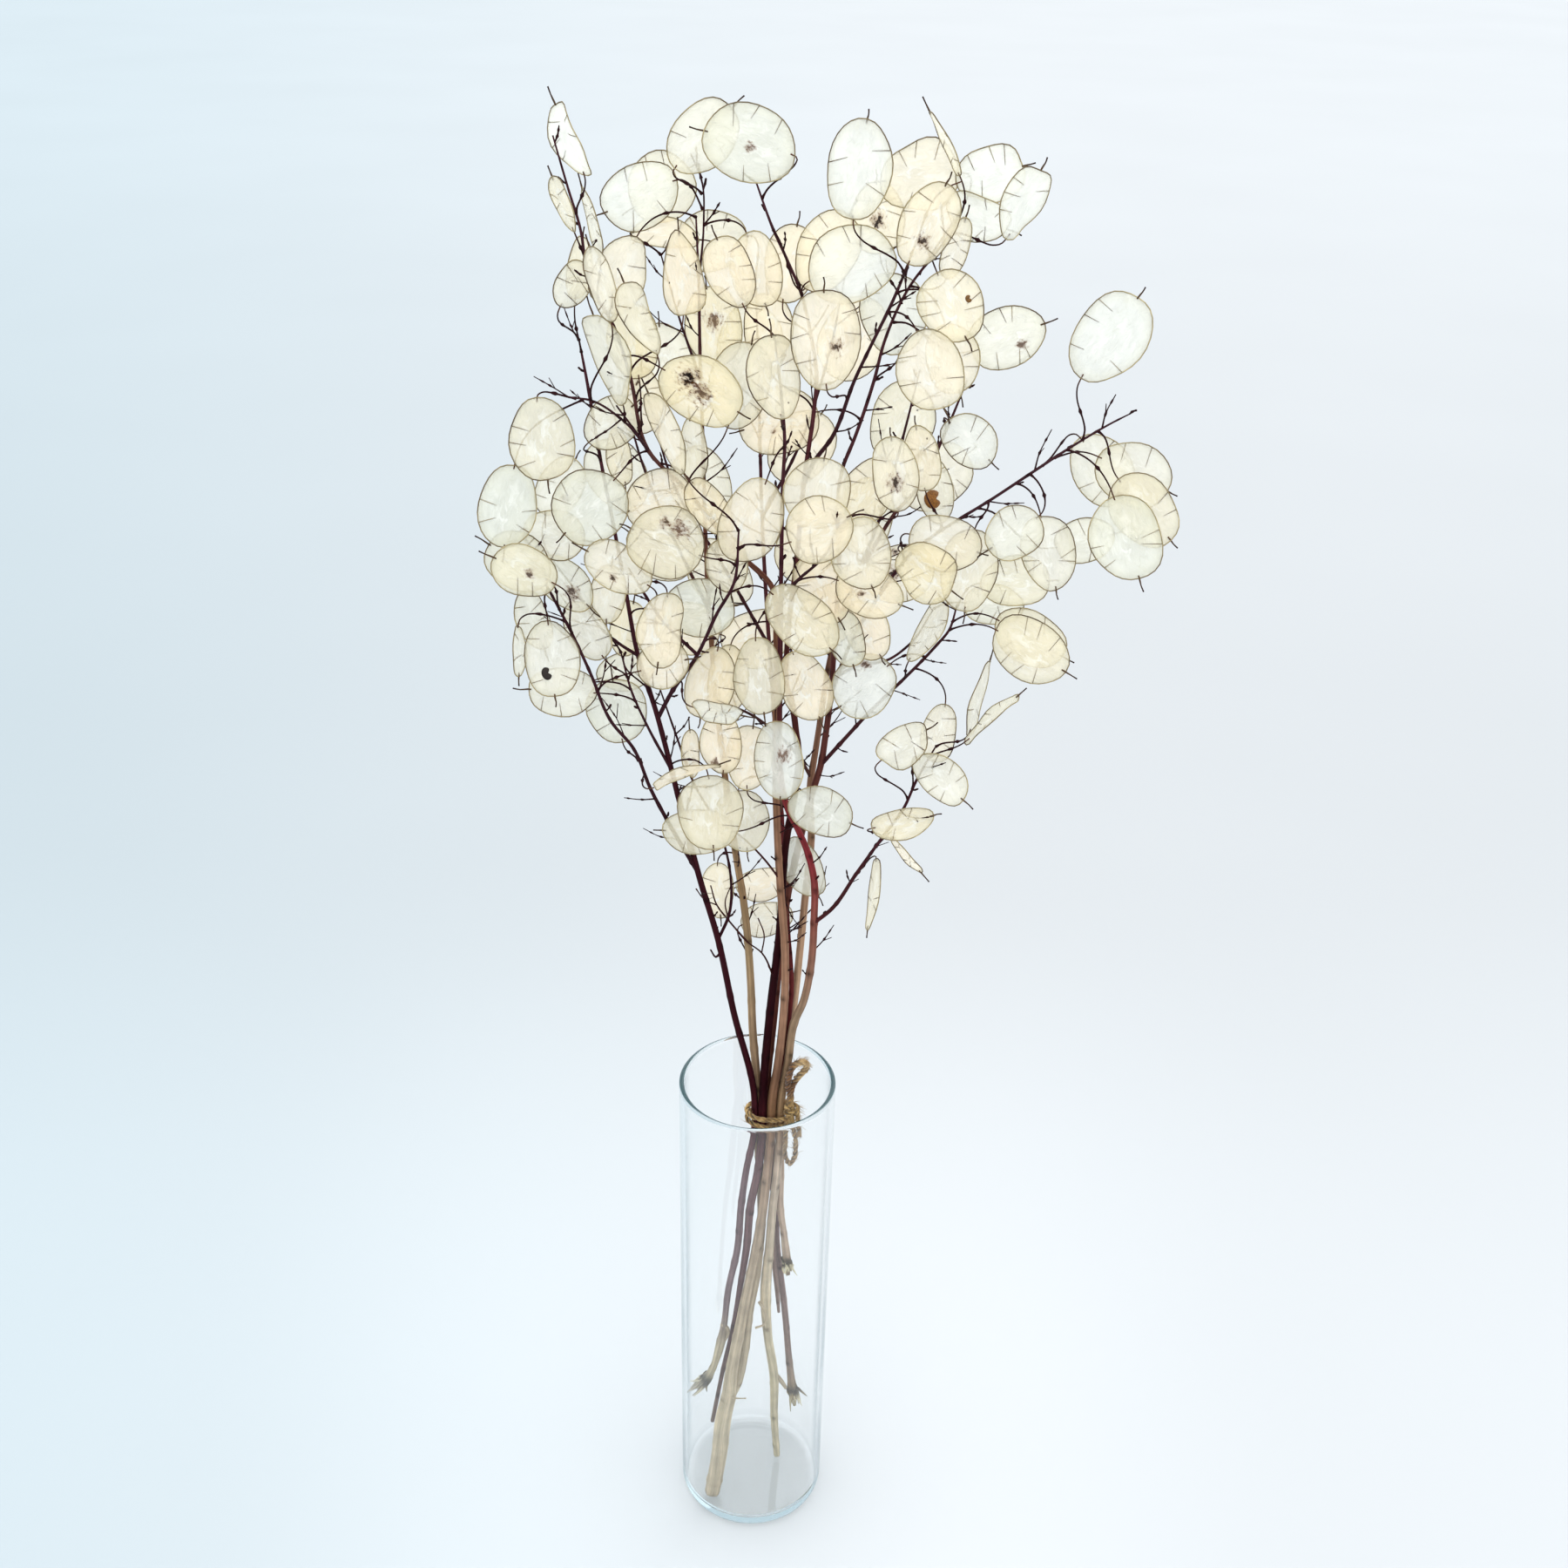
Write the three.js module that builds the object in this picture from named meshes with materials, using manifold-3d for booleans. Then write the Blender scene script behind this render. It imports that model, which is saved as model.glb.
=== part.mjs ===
// A bunch of dried honesty (Lunaria annua) stems, tied with jute twine, standing in a glass
// cylinder vase. Millimetres, +Z up, the vase's axis at the origin and its base on z = 0.
import * as THREE from 'three';
import { mergeVertices } from 'three/addons/utils/BufferGeometryUtils.js';
import Module from 'manifold-3d';

const wasm = await Module();
wasm.setup();

// ---------- driving dimensions ----------
const VASE = { radius: 40, height: 288, wall: 2.8, floor: 6, heel: 7, segments: 36 };
const TIE = { low: 263.3, pitch: 4.6, turns: 2, radius: 1.15, gap: 0.85, middle: [5.2, -1.2] };
const POD = { thickness: 0.7, slimmest: 0.72, bend: 1.8, beak: 5.5, rows: [-0.84, -0.38, 0.38, 0.84] };
const STALK = { radius: 0.42, reach: 16, shortest: 7, longest: 44 };
const GAP = 1.0;         // clear space kept between a pod or stalk and what it passes
const STEP = 3;          // how far a pod moves at a time to find a clear place
const TRIES = 26;
const EYE = [10, -730, 860];   // the standing viewer from whom the head of the bunch is set out

const COLOUR = {
  glass: '#cfe3e2', twine: '#9a7b45', purple: '#4a2c2f', dark: '#3c2424', red: '#7c4040',
  tan: '#b39a78', pale: '#c3b59b', brown: '#6b4a3c',
};

// ---------- small vector helpers on plain arrays ----------
const plus = (a, b, k = 1) => [a[0] + k * b[0], a[1] + k * b[1], a[2] + k * b[2]];
const minus = (a, b) => [a[0] - b[0], a[1] - b[1], a[2] - b[2]];
const dot = (a, b) => a[0] * b[0] + a[1] * b[1] + a[2] * b[2];
const cross = (a, b) => [
  a[1] * b[2] - a[2] * b[1],
  a[2] * b[0] - a[0] * b[2],
  a[0] * b[1] - a[1] * b[0],
];
const size = (a) => Math.sqrt(dot(a, a));
const unit = (a) => {
  const n = size(a);
  return [a[0] / n, a[1] / n, a[2] / n];
};
const rad = (degrees) => degrees * Math.PI / 180;

// A place in the head: u across and v up on the upright sheet through the vase's axis,
// then carried along the viewer's line of sight to the depth y (negative is nearer).
function seen(u, v, y) {
  const k = (y - EYE[1]) / -EYE[1];
  return [EYE[0] + k * (u - EYE[0]), y, EYE[2] + k * (v - EYE[2])];
}

// Seeded draw between 0 and 1 for pod number i and purpose j.
const draw = (i, j) => ((i * 7919 + j * 104729 + 4242) ** 2 % 9973) / 9973;

// ---------- the stems ----------
// foot: points [x, y, z, radius] from the cut or torn end up through the tie.
// head: points [u, v, y, radius] above it. Side branches have a head only and start on
// their parent's centre line.
const STEMS = [
  { node: 'stem_left_purple', colour: COLOUR.purple, foot: [
    [-29, -10, 79, 0.9], [-25.5, -10, 86, 2.9], [-22.6, -10, 93, 2.0], [-17.7, -9, 114, 2.4],
    [-16.4, -8.6, 123, 1.9], [-13.7, -8, 153, 1.8], [-9, -6, 181.6, 1.8], [-7.4, -5, 209.5, 1.8],
    [-5, -4.2, 233, 1.75], [-1.2, -3, 259, 1.7], [-1.2, -3, 275, 1.7]],
  head: [
    [-12.6, 331, -9, 1.6], [-20.3, 373, -12, 1.5], [-29.3, 408, -15, 1.5], [-39.7, 455, -17, 1.4],
    [-49, 497, -14, 1.3], [-56.5, 524, -9, 1.2], [-61.2, 554, -4, 1.1], [-65.6, 583, 0, 1.0],
    [-70.6, 614, 4, 0.9], [-75.6, 650, 8, 0.8], [-78, 665, 9, 0.5]],
  branches: [
    [[-30, 411, -15, 1.0], [-42.7, 436, -22, 1.0], [-51.9, 456, -27, 0.95], [-60, 478, -31, 0.9],
      [-69, 490, -33, 0.9], [-78, 514.5, -36, 0.85], [-85.7, 534, -38, 0.8], [-93.3, 551, -38, 0.7],
      [-99, 564, -38, 0.65], [-101, 575, -37, 0.5]],
    [[-48, 493, -14.4, 1.0], [-41.8, 506, -20, 1.0], [-30, 525, -28, 0.95], [-21.2, 545.5, -34, 0.9],
      [-13.9, 560, -38, 0.8], [-12, 584, -38, 0.5]],
    [[-30, 525, -28, 0.8], [-46, 542, -30, 0.75], [-53, 553.5, -29, 0.7], [-60, 566, -26, 0.45]],
    [[-20.3, 373, -12, 0.8], [-15, 388, -10, 0.75], [-14.5, 410, -6, 0.7], [-20, 435, 0, 0.7],
      [-32, 460, 6, 0.7], [-40, 485, 8, 0.65], [-47, 508, 10, 0.45]],
    [[-56.5, 524, -9, 0.8], [-64, 529, -13, 0.75], [-72, 536, -17, 0.7], [-80, 549, -20, 0.45]],
    [[-42, 466, -16.6, 0.8], [-53, 489, -20, 0.7], [-60, 507, -22, 0.65], [-64, 525, -22, 0.45]],
    [[-19, 366, -11.6, 0.7], [-21, 363, -13, 0.65], [-24, 367, -15, 0.5]]] },

  { node: 'stem_pair_tan', colour: COLOUR.tan, foot: [
    [-21.2, -19, 6.8, 4.1], [-17.8, -18, 35.8, 4.3], [-15.4, -16, 65.8, 4.4], [-12.8, -15, 80.4, 4.0],
    [-11.6, -14, 95, 3.5], [-7.6, -11, 123.3, 3.0], [-3.35, -8, 152.8, 2.6], [0.8, -7, 181, 2.5],
    [4.2, -6.2, 212, 2.4], [5.8, -5, 233, 2.35], [7.5, -3.7, 259, 2.3], [7.5, -3.7, 275, 2.3]],
  head: [
    [10.5, 300, -5.5, 2.1], [12.6, 335, -6, 2.0], [12.3, 367, -7, 1.9], [9.1, 408, -8, 1.8],
    [6.7, 449, -6, 1.7], [5.5, 490, -2, 1.6], [5, 533, 2, 1.5], [2.5, 559, 2, 1.4],
    [-8.9, 571, 0, 1.3], [-20.6, 584.5, -4, 1.2], [-34.6, 602, -10, 1.1], [-50.4, 619, -16, 1.0],
    [-57.8, 652, -18, 0.9], [-63.7, 671, -18, 0.85], [-72.8, 688, -17, 0.8], [-76.2, 710.7, -16, 0.7],
    [-80, 724, -15, 0.6], [-85.5, 744.6, -14, 0.4]],
  branches: [
    [[-50.4, 619, -16, 0.7], [-55.6, 627, -19, 0.6], [-63.4, 638, -24, 0.45]],
    [[-50.4, 619, -16, 0.7], [-60, 631, -28, 0.6], [-74, 640, -36, 0.55], [-83, 641, -42, 0.45]]],
  second: { foot: [
    [-12.8, -15, 76, 2.4], [-8.7, -13, 86, 2.6], [-4.9, -10, 106.5, 2.5], [-2.4, -7, 136, 2.4],
    [1.75, -4, 164.8, 2.3], [2.5, -2.8, 176, 2.2], [3.4, -0.8, 191, 2.2], [3, 0.1, 212, 2.1],
    [1.8, 0.6, 233, 2.1], [0.1, 1, 259, 2.1], [0.1, 1, 275, 2.1]],
  head: [
    [-3, 322, 2, 2.0], [-4, 347, 4, 1.9], [-7.8, 393, 8, 1.8], [-12.1, 422, 12, 1.7],
    [-17, 460, 16, 1.6], [-22, 510, 20, 1.4], [-25.5, 560, 22, 1.2], [-27.7, 632, 22, 1.0],
    [-28.5, 660, 22, 0.9], [-29, 690, 20, 0.7], [-30, 715, 18, 0.45]],
  branches: [
    [[-24, 545, 21.4, 0.9], [-40, 580, 30, 0.8], [-52, 610, 34, 0.7], [-60, 640, 36, 0.45]],
    [[-28.3, 650, 22, 0.7], [-36, 672, 24, 0.6], [-44, 700, 24, 0.4]],
    [[-29, 690, 20, 0.6], [-27, 712, 15, 0.5], [-28, 730, 10, 0.45], [-32, 739, 7, 0.35]]] } },

  { node: 'stem_dark_middle', colour: COLOUR.dark, foot: [
    [-22, -10, 53.8, 1.1], [-16.2, -7, 92.8, 1.2], [-11.1, -5, 122.2, 1.3], [-7.3, -4, 153, 1.6],
    [-4.1, -5, 181.6, 2.0], [-2.5, -5, 209.5, 2.1], [1, -4.6, 233, 2.1], [2.8, -4.1, 259, 2.1],
    [2.8, -4.1, 275, 2.1]],
  head: [
    [5.8, 331, -5, 2.0], [9.5, 378, -3, 1.9], [11.4, 428, 0, 1.8], [15.6, 460, 4, 1.7],
    [16.6, 474, 5, 1.7], [15.1, 487, 6, 1.6], [13.2, 500, 6, 1.6], [10, 512, 6, 1.5],
    [9.9, 528, 6, 1.4], [13, 570, 5, 1.3], [16, 612, 3, 1.2], [18.9, 638, 2, 1.1],
    [19.6, 652, 2, 1.0], [17, 668, 2, 0.9], [12.5, 685.6, 1, 0.8], [6, 700, 0, 0.75],
    [0.6, 711, -1, 0.7], [-6.3, 728.6, -3, 0.45]],
  branches: [
    [[15.6, 606, 3.3, 1.0], [19.7, 616, -1, 1.0], [26.5, 626, -5, 0.95], [35.6, 652, -10, 0.9],
      [40.7, 664, -12, 0.85], [50.6, 687, -14, 0.8], [55, 699.5, -14, 0.6], [57.5, 708, -14, 0.4]]] },

  { node: 'stem_dark_right', colour: COLOUR.brown, foot: [
    [24.8, 10, 46, 0.9], [23.4, 10, 57, 3.0], [22.4, 10, 66, 2.4], [20.3, 10, 86.5, 1.9],
    [18.3, 9, 111.9, 1.8], [15.9, 8, 137, 1.8], [12.2, 6, 170.4, 1.8], [9.8, 4.6, 210, 1.85],
    [6, 3, 233, 1.9], [4.4, -0.1, 259, 1.9], [4.4, -0.1, 275, 1.9]],
  head: [
    [8, 331, 3, 1.8], [10, 365, 5, 1.8], [13, 400, 7, 1.75], [18, 430, 8, 1.7],
    [23, 455, 8, 1.7], [27, 472, 8, 1.65], [28.4, 485, 9, 1.6], [29.8, 500, 10, 1.5],
    [31, 530, 12, 1.3], [31.5, 570, 12, 1.1], [31.9, 614, 10, 1.0], [36.1, 626, 8, 0.95],
    [43.3, 651, 5, 0.9], [47, 668, 3, 0.8], [56, 690, 2, 0.7], [66, 704, 0, 0.6], [73, 714, 0, 0.4]],
  branches: [
    [[30, 506, 10.4, 0.9], [38, 532, 6, 0.9], [50, 556, 0, 0.9], [64, 577, -6, 0.85],
      [81.4, 591, -12, 0.85], [94.3, 600, -14, 0.8], [111, 612.6, -14, 0.8], [125.6, 623.6, -12, 0.7],
      [144, 636, -9, 0.5], [151, 640, -8, 0.35]],
    [[27, 471, 8, 1.0], [38, 485.6, 2, 1.0], [49.6, 500.6, -4, 0.95], [62.7, 515.6, -10, 0.9],
      [76, 532, -16, 0.8], [81.5, 540, -18, 0.7], [84, 551, -19, 0.45]],
    [[30, 514, 11, 0.9], [40.6, 521, 13, 0.85], [55.6, 525, 15, 0.8], [64.7, 533, 15, 0.7],
      [74, 550, 12, 0.45]]] },

  { node: 'stem_red_bent', colour: COLOUR.red, foot: [
    [15.1, 8, 7.1, 1.9], [12.8, 7, 40.2, 2.2], [12, 4, 76.7, 2.5], [8, 1, 112, 2.5],
    [6.5, -1, 146, 3.0], [7.9, -3, 178.8, 2.4], [9.1, -4, 208.6, 2.2], [11, -4, 233, 2.2],
    [12.2, -2.5, 259, 2.2], [12.2, -2.5, 275, 2.2]],
  head: [
    [15.3, 300, -4.6, 2.1], [18, 325, -6, 2.0], [22, 337, -8, 1.9], [24.8, 355, -9, 1.9], [26, 388, -10, 1.8],
    [25.5, 408, -10, 1.8], [22.3, 422.6, -11, 1.7], [17.1, 436, -13, 1.6], [12, 447, -14, 1.6],
    [9, 460, -13, 1.5], [7.5, 475, -11, 1.4], [7.3, 493, -10, 1.4], [6.8, 540, -10, 1.3],
    [6.6, 575, -12, 1.1], [6.6, 608, -14, 1.0], [7, 622, -14, 0.9], [5, 645, -16, 0.8],
    [2, 668, -18, 0.45]],
  branches: [
    [[25.9, 384, -9.9, 1.1], [33.8, 391.6, -14, 1.05], [45.7, 413, -20, 1.0], [56.7, 432.6, -25, 0.9],
      [66, 448.6, -29, 0.85], [71.5, 464.6, -31, 0.7], [79, 481.6, -32, 0.45]],
    [[6.7, 552, -10.8, 0.9], [14, 562, -24, 0.8], [24, 572, -34, 0.7], [36, 592, -38, 0.45]]],
  legs: [
    [[12, 4, 78, 1.6], [17, 5.5, 69, 1.6], [19.2, 6, 64, 1.2]]] },

  { node: 'stem_pale', colour: COLOUR.pale, foot: [
    [18.6, 1, 156, 1.0], [17.3, 1, 169, 2.2], [15.6, 0, 185, 1.8], [13.2, -1, 206, 1.8],
    [12.9, 1.2, 233, 1.9], [11.2, 2, 259, 2.0], [11.2, 2, 275, 2.0]],
  head: [
    [14.2, 300, 3.8, 1.9], [17, 330, 5, 1.9], [20, 375, 9, 1.8], [21.3, 397, 12, 1.8],
    [23.5, 431, 16, 1.75], [22.3, 462, 19, 1.7], [23.9, 476, 20, 1.6], [25.7, 493, 22, 1.5],
    [30, 530, 26, 1.3], [38, 560, 29, 1.2], [46, 577, 29, 1.1], [55, 594, 26, 1.0],
    [63.5, 604.6, 24, 0.95], [74, 629.6, 20, 0.8], [81.6, 652, 16, 0.45]],
  branches: [
    [[22.4, 464, 19, 0.9], [17, 474, 15, 0.85], [3.6, 489, 12, 0.8], [-5, 495.5, 10, 0.75],
      [-13.3, 499.6, 6, 0.7], [-22, 504, 2, 0.45]],
    [[38, 560, 29, 0.9], [48, 590, 42, 0.85], [56, 625, 50, 0.75], [62, 656, 54, 0.45]]] },

  { node: 'stem_thin_back', colour: COLOUR.red, foot: [
    [13.9, 2, 127, 0.8], [12.6, 2, 144, 1.3], [11, 1.5, 160, 1.3], [9.2, 0.2, 208, 1.3],
    [9.3, -0.2, 233, 1.3], [7.95, 0.2, 259, 1.3], [7.95, 0.2, 275, 1.3]],
  head: [
    [12.3, 300, 0, 1.2], [15, 325, -1, 1.2], [16, 345, 2, 1.2], [13.5, 380, 14, 1.2],
    [11, 420, 26, 1.2], [7, 470, 36, 1.2], [2, 530, 44, 1.1], [-2, 590, 48, 1.0],
    [-4, 640, 48, 0.8], [-6, 690, 44, 0.45]],
  branches: [
    [[2, 530, 44, 0.9], [-20, 570, 52, 0.85], [-38, 600, 55, 0.75], [-50, 640, 54, 0.45]],
    [[-2, 590, 48, 0.8], [14, 625, 54, 0.75], [24, 660, 55, 0.65], [30, 695, 50, 0.4]]] },
];

// ---------- the pods ----------
// One row each: u, v and depth of the centre, length, width as the viewer sees it, and the
// way the pod points from its stalk to its beak, in degrees from the viewer's right.
// Near pods come first, because each pod gives way to those before it.
const PODS = [
  [-23.8, 444.5, -40, 34, 30, -85], [7, 472.5, -36, 36, 21.5, -85], [27.5, 446, -30, 31.5, 21, -20],
  [-36, 463, -36, 33, 4, 21], [-21, 497, -42, 23, 9, -8], [-24.7, 511, -32, 33, 21, -103],
  [-2, 515, -34, 35, 21.5, -82], [19, 511, -26, 33, 21, -66], [45, 511.5, -12, 30, 26, 222],
  [16, 542.5, -34, 37, 24, -42], [41, 575, -46, 31, 25, -70], [22.5, 585.5, -38, 29, 27, 25],
  [-6.8, 588.5, -34, 36.5, 25.5, 250], [-43.2, 578, -42, 33, 30, 160], [21.3, 602, -28, 30, 27, 80],
  [-45.3, 537, -44, 32, 20, -97], [-95.3, 521, -46, 34, 23.5, -84], [-110, 525.2, -42, 23, 5.5, -88],
  [-76, 593.5, -26, 33, 30, 228], [-95, 622.5, -46, 34.5, 26, -82], [-110.5, 592.5, -42, 35.5, 23.5, -97],
  [-64.5, 565.5, -36, 32, 19, 152], [-28, 645, -24, 37, 25, -28], [2.8, 652, -28, 34, 21, 98],
  [22.5, 668, -20, 39, 28, 93], [66.4, 655.8, -30, 33, 26, -68], [73.3, 682.5, -24, 29, 25, -63],
  [61.5, 714.5, -24, 34, 21, 66], [34, 734.5, -16, 37, 24.5, 83], [32, 698, -12, 36, 28, 22],
  [-9.2, 743.5, -4, 36, 28, 167], [-52, 722.5, 10, 31, 24, 205], [-36, 692, 0, 33, 15.5, 94],
  [-66.4, 657.5, -30, 39, 13, 109], [-68.6, 688, -27, 31, 10, 107], [-52.8, 675, -30, 32, 11, 116],
  [-79, 743.5, -13, 29, 9.5, 113], [-82.5, 719, -21, 22, 6, 112], [-71.7, 712.5, -11, 26.5, 4, 105],
  [138.5, 671.4, -12, 39, 27.5, 57], [155, 585, -28, 37, 29, -70], [161, 598, -20, 34, 25, -47],
  [154.8, 613.5, -10, 33, 25, -25], [118, 531, -26, 36, 26, -30], [82.3, 465, -38, 29, 18, -42],
  [64.2, 482, -38, 26, 17, 35], [70, 567, -28, 28, 23, -35], [88.5, 568.5, -22, 35, 24, -95],
  [106.5, 586, -24, 25, 22, 215], [66, 441.5, -34, 29, 14, 13], [104, 497, -30, 31, 5, 43],
  [97.5, 508, -24, 34, 5, 76], [99.5, 723.5, -14, 29, 15, 66], [81.5, 718, -22, 27, 16, -22],
  [54, 611, -24, 31, 19, 98], [42.5, 603, -16, 31, 21, 60], [-16.5, 694, -6, 29, 18, 113],
  [-5.8, 695, 6, 29, 20, -74], [-88.5, 558, -34, 30, 18, -42], [-108, 567.5, -46, 30, 23, 150],
  [-79.5, 535, -28, 28, 17, 125], [-45.5, 519.5, -34, 23, 20, 15], [-66.4, 496.5, -24, 29, 26, 100],
  [-91, 505.5, -26, 31, 21, 178], [-30, 434, -26, 33, 20, 180], [-9, 440.5, -22, 29, 24, -80],
  [20, 416, 0, 30, 18, -62], [-20, 401.5, 10, 26, 14.5, -85], [-33, 475, -26, 22, 8, 95],
  [-19, 481, -22, 28, 18, 95], [-6, 474, -14, 29, 21, 85], [45, 557, -28, 31, 21, -20],
  [25, 558, -18, 31, 22, -60], [36.5, 534.5, -14, 26, 15, -75], [45, 539, -4, 27, 19, -60],
  [77, 580.5, -14, 31, 23, -14], [109, 563.5, -8, 30, 21, 3], [122, 577.5, -18, 33, 22, -76],
  [137, 583, -8, 26, 18, 15], [117.5, 537, -14, 34, 22, -28], [71.5, 540, -2, 32, 10, 62],
  [80.5, 488.5, -28, 27, 15, -100], [68.5, 423.5, -24, 22, 3.5, -48], [53.5, 401.5, -26, 34, 5, -96],
  [96.5, 670, -14, 32, 23, 22], [84.5, 626.3, 4, 25, 20, -42], [85.5, 734, -4, 27, 20, 15],
  [58, 732.5, 0, 30, 26, 188], [66.5, 745, -10, 27, 3, 119], [73.5, 705, -14, 24, 10, 75],
  [-61, 691.5, -10, 30, 21, 246], [-42.5, 707.5, 6, 27, 11, -5], [-43.5, 726, 20, 27, 25, 215],
  [-27, 745, 8, 32, 22, 45], [-23.5, 706, 26, 28, 22, 190], [7.5, 698, 24, 31, 20, 80],
  [22.6, 703, 2, 33, 23, 60], [-65.5, 630.5, -26, 24, 20, 40], [-43, 627, -30, 36, 10, 115],
  [-46, 597, -20, 30, 24, 200], [-24.5, 595, -14, 27, 15, -52], [-91.5, 580.5, -26, 27, 20, -10],
  [4.5, 633, 8, 33, 27, 195], [-12, 648, 4, 36, 24, 75], [-17, 568.5, -26, 24, 17.5, -80],
  [-29, 548, -14, 31, 25, 5], [64.5, 618, -6, 27, 15, 100], [70.5, 605, 2, 30, 15, 105],
  [-102, 540, -28, 27, 14, -70], [-105.5, 563.5, -36, 29, 21, 158], [-68.8, 553.5, -14, 25, 15, 85],
  [-17, 513, -14, 30, 18, -95], [-62, 517, 6, 26, 17, 20], [-80, 687.5, -6, 20, 13, 60],
  [-77, 694, 0, 24, 10, 82], [75, 661, -16, 28, 21, -75], [50, 679, 16, 32, 26, 100],
  [42, 716, 14, 28, 20, 95], [141, 615, 0, 31, 24, -55], [100, 552, 8, 26, 17, -5],
  [-1, 672, 12, 28, 19, 92], [-56, 665, 2, 30, 20, 100], [-32, 619, 0, 28, 11, 95],
  [-53, 640, 2, 27, 17, 90], [-62, 616, -12, 24, 10, 100], [-88, 602, 2, 27, 18, 62],
  [-60.5, 537, 8, 25, 15, 80], [1, 406, 18, 26, 15, 10], [3, 386, 20, 25, 16, 15],
  [-23.4, 672, 36, 32, 22, 100],
  [-64, 608, 50, 32, 24, 120], [-44, 655, 62, 34, 26, 95], [-28, 604, 66, 33, 25, 110],
  [-8, 664, 60, 34, 26, 80], [14, 622, 66, 33, 25, 60], [34, 668, 60, 34, 26, 70],
  [56, 634, 62, 33, 26, 75], [72, 610, 42, 32, 24, 40], [-20, 564, 62, 32, 24, 130],
  [18, 578, 60, 33, 25, 50], [42, 592, 56, 32, 24, 80], [-46, 574, 44, 31, 23, 150],
  [-4, 534, 56, 32, 24, 200], [28, 545, 48, 32, 24, 40], [58, 566, 46, 31, 24, 20],
  [-34, 538, 38, 30, 22, 170],
];

// ---------- lines: every stem and side branch as points [x, y, z, radius] ----------
// A smooth curve through all four numbers, `rows` pieces to each span. Its direction at a
// point leans towards the shorter of the two spans there, so short spans stay nearly straight.
function smooth(points, rows) {
  const spans = [];
  for (let i = 1; i < points.length; i++) {
    const [p, q] = [points[i - 1], points[i]];
    const long = size(minus(q, p));
    spans.push({ long, slope: q.map((e, c) => (e - p[c]) / long) });
  }
  const ways = points.map((_, i) => {
    const before = spans[Math.max(i - 1, 0)];
    const after = spans[Math.min(i, spans.length - 1)];
    const both = before.long + after.long;
    return before.slope.map((e, c) => (e * after.long + after.slope[c] * before.long) / both);
  });
  const line = [];
  spans.forEach(({ long }, i) => {
    for (let k = 0; k < rows; k++) {
      const t = k / rows;
      line.push(points[i].map((e, c) => e * (1 + 2 * t) * (1 - t) ** 2
        + points[i + 1][c] * t * t * (3 - 2 * t)
        + long * (ways[i][c] * t * (1 - t) ** 2 - ways[i + 1][c] * t * t * (1 - t))));
    }
  });
  line.push(points[points.length - 1]);
  return line;
}

const inHead = ([u, v, y, r]) => [...seen(u, v, y), r];

function stemLines(stem, number) {
  const head = stem.head.map(inHead);
  const lines = [{ stem: number, points: [...stem.foot, ...head], main: true }];
  for (const branch of stem.branches) lines.push({ stem: number, points: branch.map(inHead) });
  for (const leg of stem.legs ?? []) lines.push({ stem: number, points: leg });
  if (stem.second) lines.push(...stemLines(stem.second, number));
  return lines;
}

const LINES = STEMS.flatMap(stemLines);
for (const line of LINES) {
  line.fine = smooth(line.points, 3);
  line.spots = line.fine.map((_, i) => {
    const p = line.points[Math.floor(i / 3)];
    const q = line.points[Math.min(Math.floor(i / 3) + 1, line.points.length - 1)];
    return plus(p, minus(q, p), (i % 3) / 3);
  });
}

// ---------- pods: their frames, and the rule that keeps them clear ----------
// a points from stalk to beak, n out of the face, b across; hl and hw are half the sizes.
function podFrame(number, row, y) {
  const [u, v, , long, wide, way] = row;
  const k = (y - EYE[1]) / -EYE[1];
  const c = seen(u, v, y);
  const w = unit(minus(c, EYE));
  const right = unit([1 - w[0] * w[0], -w[0] * w[1], -w[0] * w[2]]);
  const up = cross(right, w);
  const turn = rad(way);
  const a = plus(right.map((e) => e * Math.cos(turn)), up, Math.sin(turn));
  const flat = [-w[0], -w[1], -w[2]];
  const across = cross(flat, a);
  const least = Math.cos(rad(5 + 10 * draw(number, 1)));
  const full = Math.max(wide / least, POD.slimmest * long);
  const tilt = Math.acos(wide / full) * (draw(number, 2) < 0.5 ? -1 : 1);
  const n = plus(flat.map((e) => e * Math.cos(tilt)), across, Math.sin(tilt));
  const frame = {
    c, a, n, b: cross(n, a), hl: k * long / 2, hw: k * full / 2,
    bend: POD.bend * (2 * draw(number, 3) - 1),
  };
  frame.rim = ring(frame, 1, 16);
  frame.middle = ring(frame, 0.55, 8);
  const tip = surface(frame, 1, 0);
  frame.beak = [plus(tip, a, -1.5), plus(tip, a, POD.beak * (0.7 + 0.5 * draw(number, 5)))];
  return frame;
}

// How far the papery blade bows out of its plane at x, from -1 at the stalk to 1 at the beak.
const bow = (f, x) => f.bend * (1 - Math.min(1, x * x));
const surface = (f, x, y) => plus(plus(plus(f.c, f.a, f.hl * x), f.b, f.hw * y), f.n, bow(f, x));

function ring(f, part, count) {
  const points = [];
  for (let i = 0; i <= count; i++) {
    const turn = 2 * Math.PI * i / count;
    points.push(surface(f, part * Math.cos(turn), part * Math.sin(turn)));
  }
  return points;
}

// Whether a chain of points comes nearer than `space` to a pod, or passes through it.
function blocked(f, chain, space) {
  const edge = 0.8;
  let before = null;
  for (const p of chain) {
    const d = minus(p, f.c);
    const x = dot(d, f.a);
    const y = dot(d, f.b);
    const h = dot(d, f.n) - bow(f, x / f.hl);
    const inside = (x / (f.hl + edge)) ** 2 + (y / (f.hw + edge)) ** 2 < 1;
    if (inside && Math.abs(h) < space) return true;
    if (before && before.h * h < 0) {
      const t = before.h / (before.h - h);
      const cx = before.x + t * (x - before.x);
      const cy = before.y + t * (y - before.y);
      if ((cx / (f.hl + edge)) ** 2 + (cy / (f.hw + edge)) ** 2 < 1) return true;
    }
    before = { x, y, h };
  }
  return false;
}

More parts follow.
